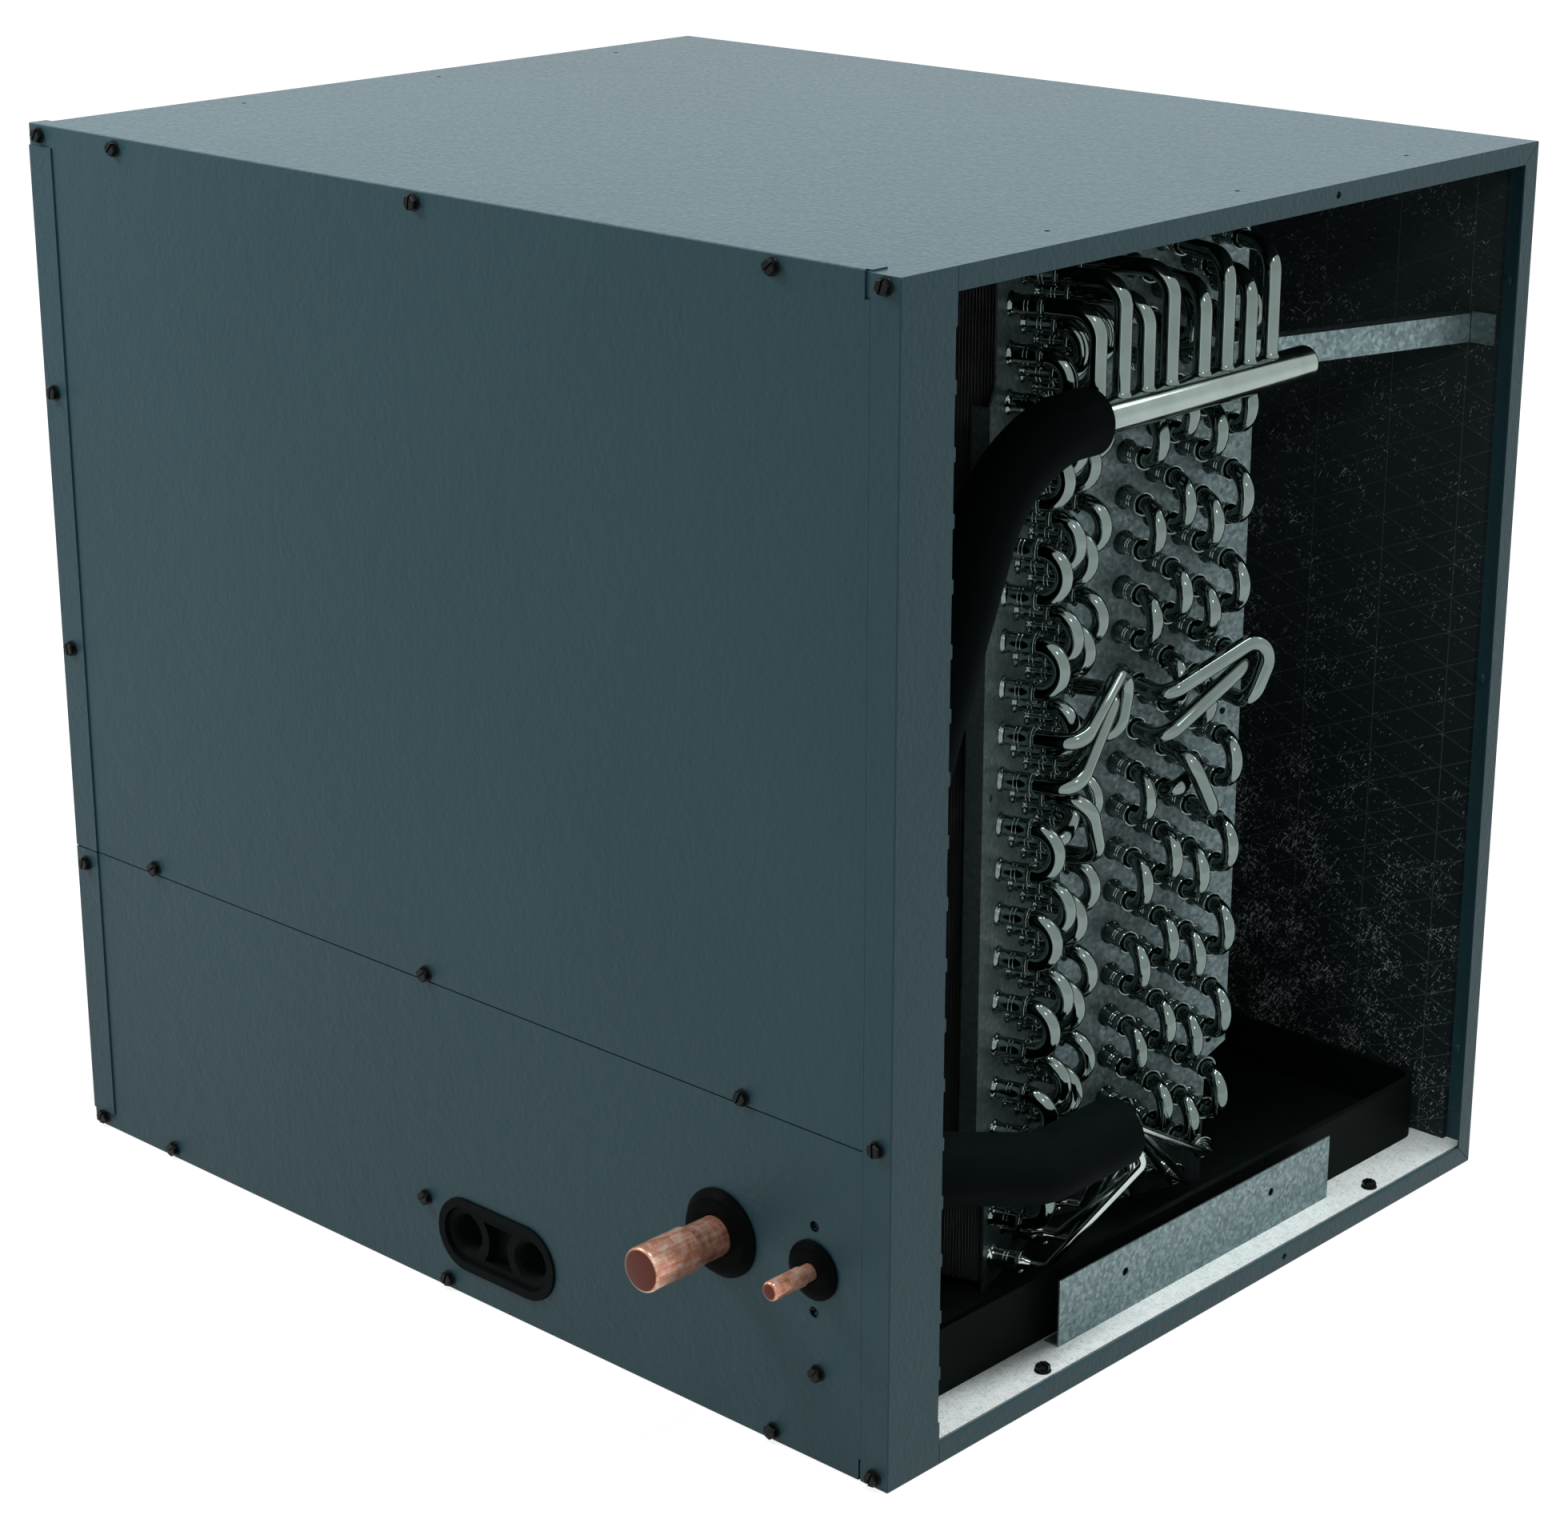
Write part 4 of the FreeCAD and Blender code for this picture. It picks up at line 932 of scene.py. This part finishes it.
def silver_foil():
    material, tree, shader = new_material("silver_foil_liner", (0.76, 0.86, 0.85), 0.0, 0.42)
    coords = place(tree)
    marks = dashes(tree, coords, [(0, 0, 0.5), (0, 0, 1.3), (0, 0, 2.2), (0, 0, 2.9)], 0.007, 0.0005, 0.58)
    # Painted shade: thin dent lines darken the foil's colour
    dent_shade = dashes(tree, coords, [(0, 0, 0.9), (0, 0, 1.8), (0, 0, 2.6)], 0.005, 0.0007, 0.62)
    lines = thread_lines(tree, coords, [((1, 0, 0), grid_step), ((-grid_across, grid_up, 0), grid_slant),
                                        ((grid_across, grid_up, 0), grid_slant)], grid_line)
    cloud = grain(tree, coords, 0.006, 4.0, 0.6, 0.5)
    base = ramp(tree, cloud, [(0.3, (0.70, 0.82, 0.81)), (0.7, (0.84, 0.96, 0.95))])
    dent_shaded = mix(tree, math_node(tree, "MULTIPLY", dent_shade, 0.35), base, (0.36, 0.45, 0.445))
    marked = mix(tree, marks, dent_shaded, (0.95, 1.0, 0.99))
    tree.links.new(mix(tree, math_node(tree, "MULTIPLY", lines, 0.4), marked, (0.85, 0.88, 0.87)),
                   shader.inputs["Base Color"])
    low = bump(tree, shader, cloud, 0.4, 0.001)
    bump(tree, shader, lines, 0.4, 0.0005, low)
    return material


def bright_tube(name, colour, roughness):
    material, tree, shader = new_material(name, colour, 1.0, roughness)
    coords = place(tree)
    cloud = grain(tree, coords, 0.02, 3.0, 0.5)
    dark = tuple(v * 0.85 for v in colour)
    tree.links.new(ramp(tree, cloud, [(0.35, dark), (0.65, colour)]), shader.inputs["Base Color"])
    tree.links.new(remap(tree, cloud, 0.3, 0.7, roughness, roughness * 1.8), shader.inputs["Roughness"])
    return material


def copper():
    """Drawn copper with bright streaks, darker and browner on faces that face forward, mostly the spun ends.
    """
    material, tree, shader = new_material("copper", (0.72, 0.36, 0.26), 0.45, 0.25)
    shader.inputs["Specular IOR Level"].default_value = 0.25
    coords = place(tree)
    drawn = grain(tree, coords, 0.0016, 2.0, 0.5, 0.0, (1, 0.05, 1))
    mottle = grain(tree, coords, 0.007, 4.0, 0.6, 0.5)
    tone = blend(tree, drawn, mottle, 0.3)
    colour = ramp(tree, tone, [(0.36, (0.44, 0.17, 0.10)), (0.5, (0.78, 0.38, 0.26)),
                               (0.66, (1.0, 0.74, 0.61))])
    # Faces whose normal points forward (-Y) get a dark brown colour
    normal = add(tree, "ShaderNodeTexCoord").outputs["Normal"]
    forward = add(tree, "ShaderNodeSeparateXYZ", {"Vector": normal}).outputs["Y"]
    end_face = remap(tree, forward, -0.93, -0.75, 1.0, 0.0)
    tree.links.new(mix(tree, end_face, colour, (0.11, 0.022, 0.012)), shader.inputs["Base Color"])
    tree.links.new(remap(tree, tone, 0.3, 0.7, 0.30, 0.18), shader.inputs["Roughness"])
    bump(tree, shader, tone, 0.05, 0.0002)
    return material


def brass():
    material, tree, shader = new_material("brass_body", (0.62, 0.46, 0.22), 1.0, 0.3)
    coords = place(tree)
    cloud = grain(tree, coords, 0.008, 3.0, 0.5)
    tree.links.new(ramp(tree, cloud, [(0.3, (0.48, 0.34, 0.15)), (0.7, (0.68, 0.52, 0.27))]),
                   shader.inputs["Base Color"])
    return material


def dark_soft(name, low, high, roughness, specular, size, strength):
    """Black plastic, rubber or foam with a fine uneven surface."""
    material, tree, shader = new_material(name, high, 0.0, roughness)
    coords = place(tree)
    fine = grain(tree, coords, size, 3.0, 0.6)
    cloud = grain(tree, coords, size * 12, 2.0, 0.5)
    tone = blend(tree, fine, cloud, 0.5)
    tree.links.new(ramp(tree, tone, [(0.3, low), (0.7, high)]), shader.inputs["Base Color"])
    tree.links.new(remap(tree, tone, 0.3, 0.7, roughness * 0.9, min(1.0, roughness * 1.12)),
                   shader.inputs["Roughness"])
    shader.inputs["Specular IOR Level"].default_value = specular
    bump(tree, shader, fine, strength, size * 0.3)
    return material


def fin_metal():
    material, tree, shader = new_material("fins", (0.62, 0.64, 0.65), 1.0, 0.42)
    coords = place(tree)
    cloud = grain(tree, coords, 0.03, 3.0, 0.6)
    tree.links.new(ramp(tree, cloud, [(0.3, (0.50, 0.52, 0.53)), (0.7, (0.70, 0.72, 0.73))]),
                   shader.inputs["Base Color"])
    return material


materials = {
    "casing_paint": casing_paint(),
    # Painted shade: the slot's sheets get a darker copy of the galvanised sheet (gain 0.75)
    "galvanised_sheet": galvanised("galvanised_sheet", 0.75),
    "black_foil_liner": black_foil(),
    "silver_foil_liner": silver_foil(),
    "pan_plastic": dark_soft("pan_plastic", (0.0042, 0.0068, 0.0064), (0.0072, 0.0108, 0.0102), 0.45, 0.02,
                             0.0009, 0.2),
    "fins": fin_metal(),
    "coil_tube": bright_tube("coil_tube", (0.175, 0.225, 0.212), 0.05),
    "header_tube": bright_tube("header_tube", (0.30, 0.37, 0.35), 0.10),
    "copper": copper(),
    "brass_body": brass(),
    "foam": dark_soft("foam", (0.0026, 0.0047, 0.0047), (0.0048, 0.0080, 0.0080), 0.6, 0.012, 0.0011, 0.3),
    "grommet_rubber": dark_soft("grommet_rubber", (0.0014, 0.0022, 0.0023), (0.0028, 0.0042, 0.0043), 0.42,
                                0.015, 0.0012, 0.1),
    "screw_black": dark_soft("screw_black", (0.0026, 0.0038, 0.0040), (0.0056, 0.0078, 0.0080), 0.32, 0.12,
                             0.0016, 0.15),
}

# Painted light: a lighter copy of the galvanised sheet for the brace and the pan bracket
lit_strap_finish = galvanised("galvanised_strap_painted_light", 1.22)

# Carried-over solids get the finish of their slot, but the brace and the pan bracket get the painted-light
# copy
for part in frame["record"]["subparts"]:
    node = frame["nodes"][part["node"]]
    finish = lit_strap_finish if part["node"] in ("brace", "pan_bracket") else materials[part["material_slot"]]
    if not node.material_slots:
        node.data.materials.append(finish)
    for material_slot in node.material_slots:
        material_slot.material = finish

# Pieces that stand for plainer solids
for word, side in (("front", -1), ("back", 1)):
    make_piece(word + "_bend_bank", return_bends(side), materials["coil_tube"],
               [word + "_return_bends"])
    make_piece(word + "_hairpin_bank", hairpins(side), materials["coil_tube"],
               [word + "_hairpins"])
    make_piece(word + "_crossover_tubes", crossovers(side), materials["coil_tube"],
               [word + "_crossovers"])
    make_piece(word + "_fins", fin_pack(side), materials["fins"], [word + "_fin_pack"])
make_piece("header_feeds", feeder_tubes(), materials["coil_tube"], ["feeder_tubes"])
make_piece("header_tube", suction_header(), materials["header_tube"], ["suction_header"])
make_piece("suction_tube", suction_line(), materials["copper"], ["suction_line"])
suction_foam = make_piece("suction_foam", suction_sleeve(), materials["foam"], ["suction_sleeve"], 60)
make_piece("suction_cup", cup(suction_x, suction_z, suction_radius, suction_cap_wall, suction_cap_end,
                              suction_cap_start, 64), materials["copper"], ["suction_cap"])
make_piece("suction_ring", grommet(suction_x, suction_z, *suction_ring, suction_radius),
           materials["grommet_rubber"], ["suction_grommet"])
make_piece("liquid_tube", liquid_line(), materials["copper"], ["liquid_line"])
make_piece("liquid_cup", cup(liquid_x, liquid_z, liquid_radius, liquid_cap_wall, liquid_cap_end,
                             liquid_cap_start, 48), materials["copper"], ["liquid_cap"])
make_piece("liquid_ring", grommet(liquid_x, liquid_z, *liquid_ring, liquid_radius),
           materials["grommet_rubber"], ["liquid_grommet"])
make_piece("meter", metering_body(), materials["brass_body"], ["metering_body"])
liquid_foam = make_piece("liquid_foam", liquid_sleeve(), materials["foam"], ["liquid_sleeve"], 60)
make_piece("feed_capillaries", capillaries(), bright_tube("capillary", (0.50, 0.57, 0.55), 0.1),
           ["capillaries"])
make_piece("panel_screw_heads", panel_screws(), materials["screw_black"], ["panel_screws"], 25)
make_piece("floor_screw_heads", floor_screw_heads(), materials["screw_black"],
           ["floor_screws"], 25)
make_piece("rivet_heads", rivets(), materials["casing_paint"], ["back_rivets"])

# Pieces that the solids don't have
make_piece("brace_tab", brace_tab(), lit_strap_finish)
make_piece("port_threads", drain_threads(), materials["pan_plastic"])

# Floor
floor_mesh = bpy.data.meshes.new("studio_floor")
floor_half = 16.0
floor_corners = [(x * floor_half, y * floor_half, 0) for x, y in ((-1, -1), (1, -1), (1, 1), (-1, 1))]
floor_mesh.from_pydata(floor_corners, [], [(0, 1, 2, 3)])
floor = bpy.data.objects.new("studio_floor", floor_mesh)
bpy.context.scene.collection.objects.link(floor)
floor.location.z = -0.0005
floor_material, floor_tree, floor_shader = new_material("studio_floor", (0.38, 0.38, 0.38), 0.0, 0.9)
floor_shader.inputs["Specular IOR Level"].default_value = 0.0
away = add(floor_tree, "ShaderNodeVectorMath", {0: place(floor_tree)}, operation="LENGTH").outputs["Value"]
fade = remap(floor_tree, away, 0.6, 2.2, 0.84, 1.0)
glow = math_node(floor_tree, "MULTIPLY", seen_directly(floor_tree), fade)
floor_glow = add(floor_tree, "ShaderNodeEmission", {"Color": (1, 1, 1, 1), "Strength": glow})
floor_sum = add(floor_tree, "ShaderNodeAddShader", {0: floor_shader.outputs[0], 1: floor_glow.outputs[0]})
floor_tree.links.new(floor_sum.outputs[0], floor_tree.nodes["Material Output"].inputs["Surface"])
floor_mesh.materials.append(floor_material)

# World: white where it is seen or reflected, softer as a light
world = bpy.data.worlds.new("studio")
world.use_nodes = True
bpy.context.scene.world = world
world_tree = world.node_tree
background = world_tree.nodes["Background"]
background.inputs["Color"].default_value = (1, 1, 1, 1)
world_tree.links.new(remap(world_tree, seen_directly(world_tree), 0.0, 1.0, 0.15, 1.0),
                     background.inputs["Strength"])


# Lamps

def lamp(name, spot, target, size, power):
    light = bpy.data.lights.new(name, "AREA")
    light.shape = "RECTANGLE"
    light.size = size[0]
    light.size_y = size[1]
    light.energy = power
    holder = bpy.data.objects.new(name, light)
    holder.location = spot
    holder.rotation_euler = (Vector(target) - Vector(spot)).to_track_quat("-Z", "Y").to_euler()
    holder.visible_camera = False
    bpy.context.scene.collection.objects.link(holder)


middle = (0, 0, 0.31)
lamp("top_lamp", (0.6, 0.2, 2.8), (0.45, 0.2, 0), (1.6, 0.45), 51)
lamp("high_lamp", (1.9, -0.9, 1.75), middle, (0.28, 0.28), 2.8)
lamp("side_lamp", (1.25, 2.0, 1.95), middle, (0.38, 0.55), 3.2)
lamp("key_lamp", (-0.85, -0.85, 1.35), middle, (0.6, 0.6), 11.0)
lamp("strip_lamp", (0.95, -2.3, 0.9), (0.3, 0, 0.35), (0.16, 2.0), 1.3)
lamp("rim_lamp", (-2.4, 2.5, 1.4), middle, (3.2, 1.3), 7)

# Camera
camera_data = bpy.data.cameras.new("photo_view")
camera_data.sensor_fit = "HORIZONTAL"
camera_data.sensor_width = 36.0
camera_data.lens = 80.96
camera_data.clip_end = 60.0
camera = bpy.data.objects.new("photo_view", camera_data)
view_right = Vector((0.731263, 0.682095, 0.000456))
view_up = Vector((-0.220814, 0.236099, 0.946308))
view_back = Vector((0.645365, -0.692101, 0.323266))
eye = Vector((1361.479, -1451.193, 928.428)) * MM
view_axes = Matrix((view_right, view_up, view_back)).transposed()
camera.matrix_world = Matrix.Translation(eye) @ view_axes.to_4x4()
bpy.context.scene.collection.objects.link(camera)
bpy.context.scene.camera = camera
bpy.context.scene.view_settings.view_transform = "Standard"
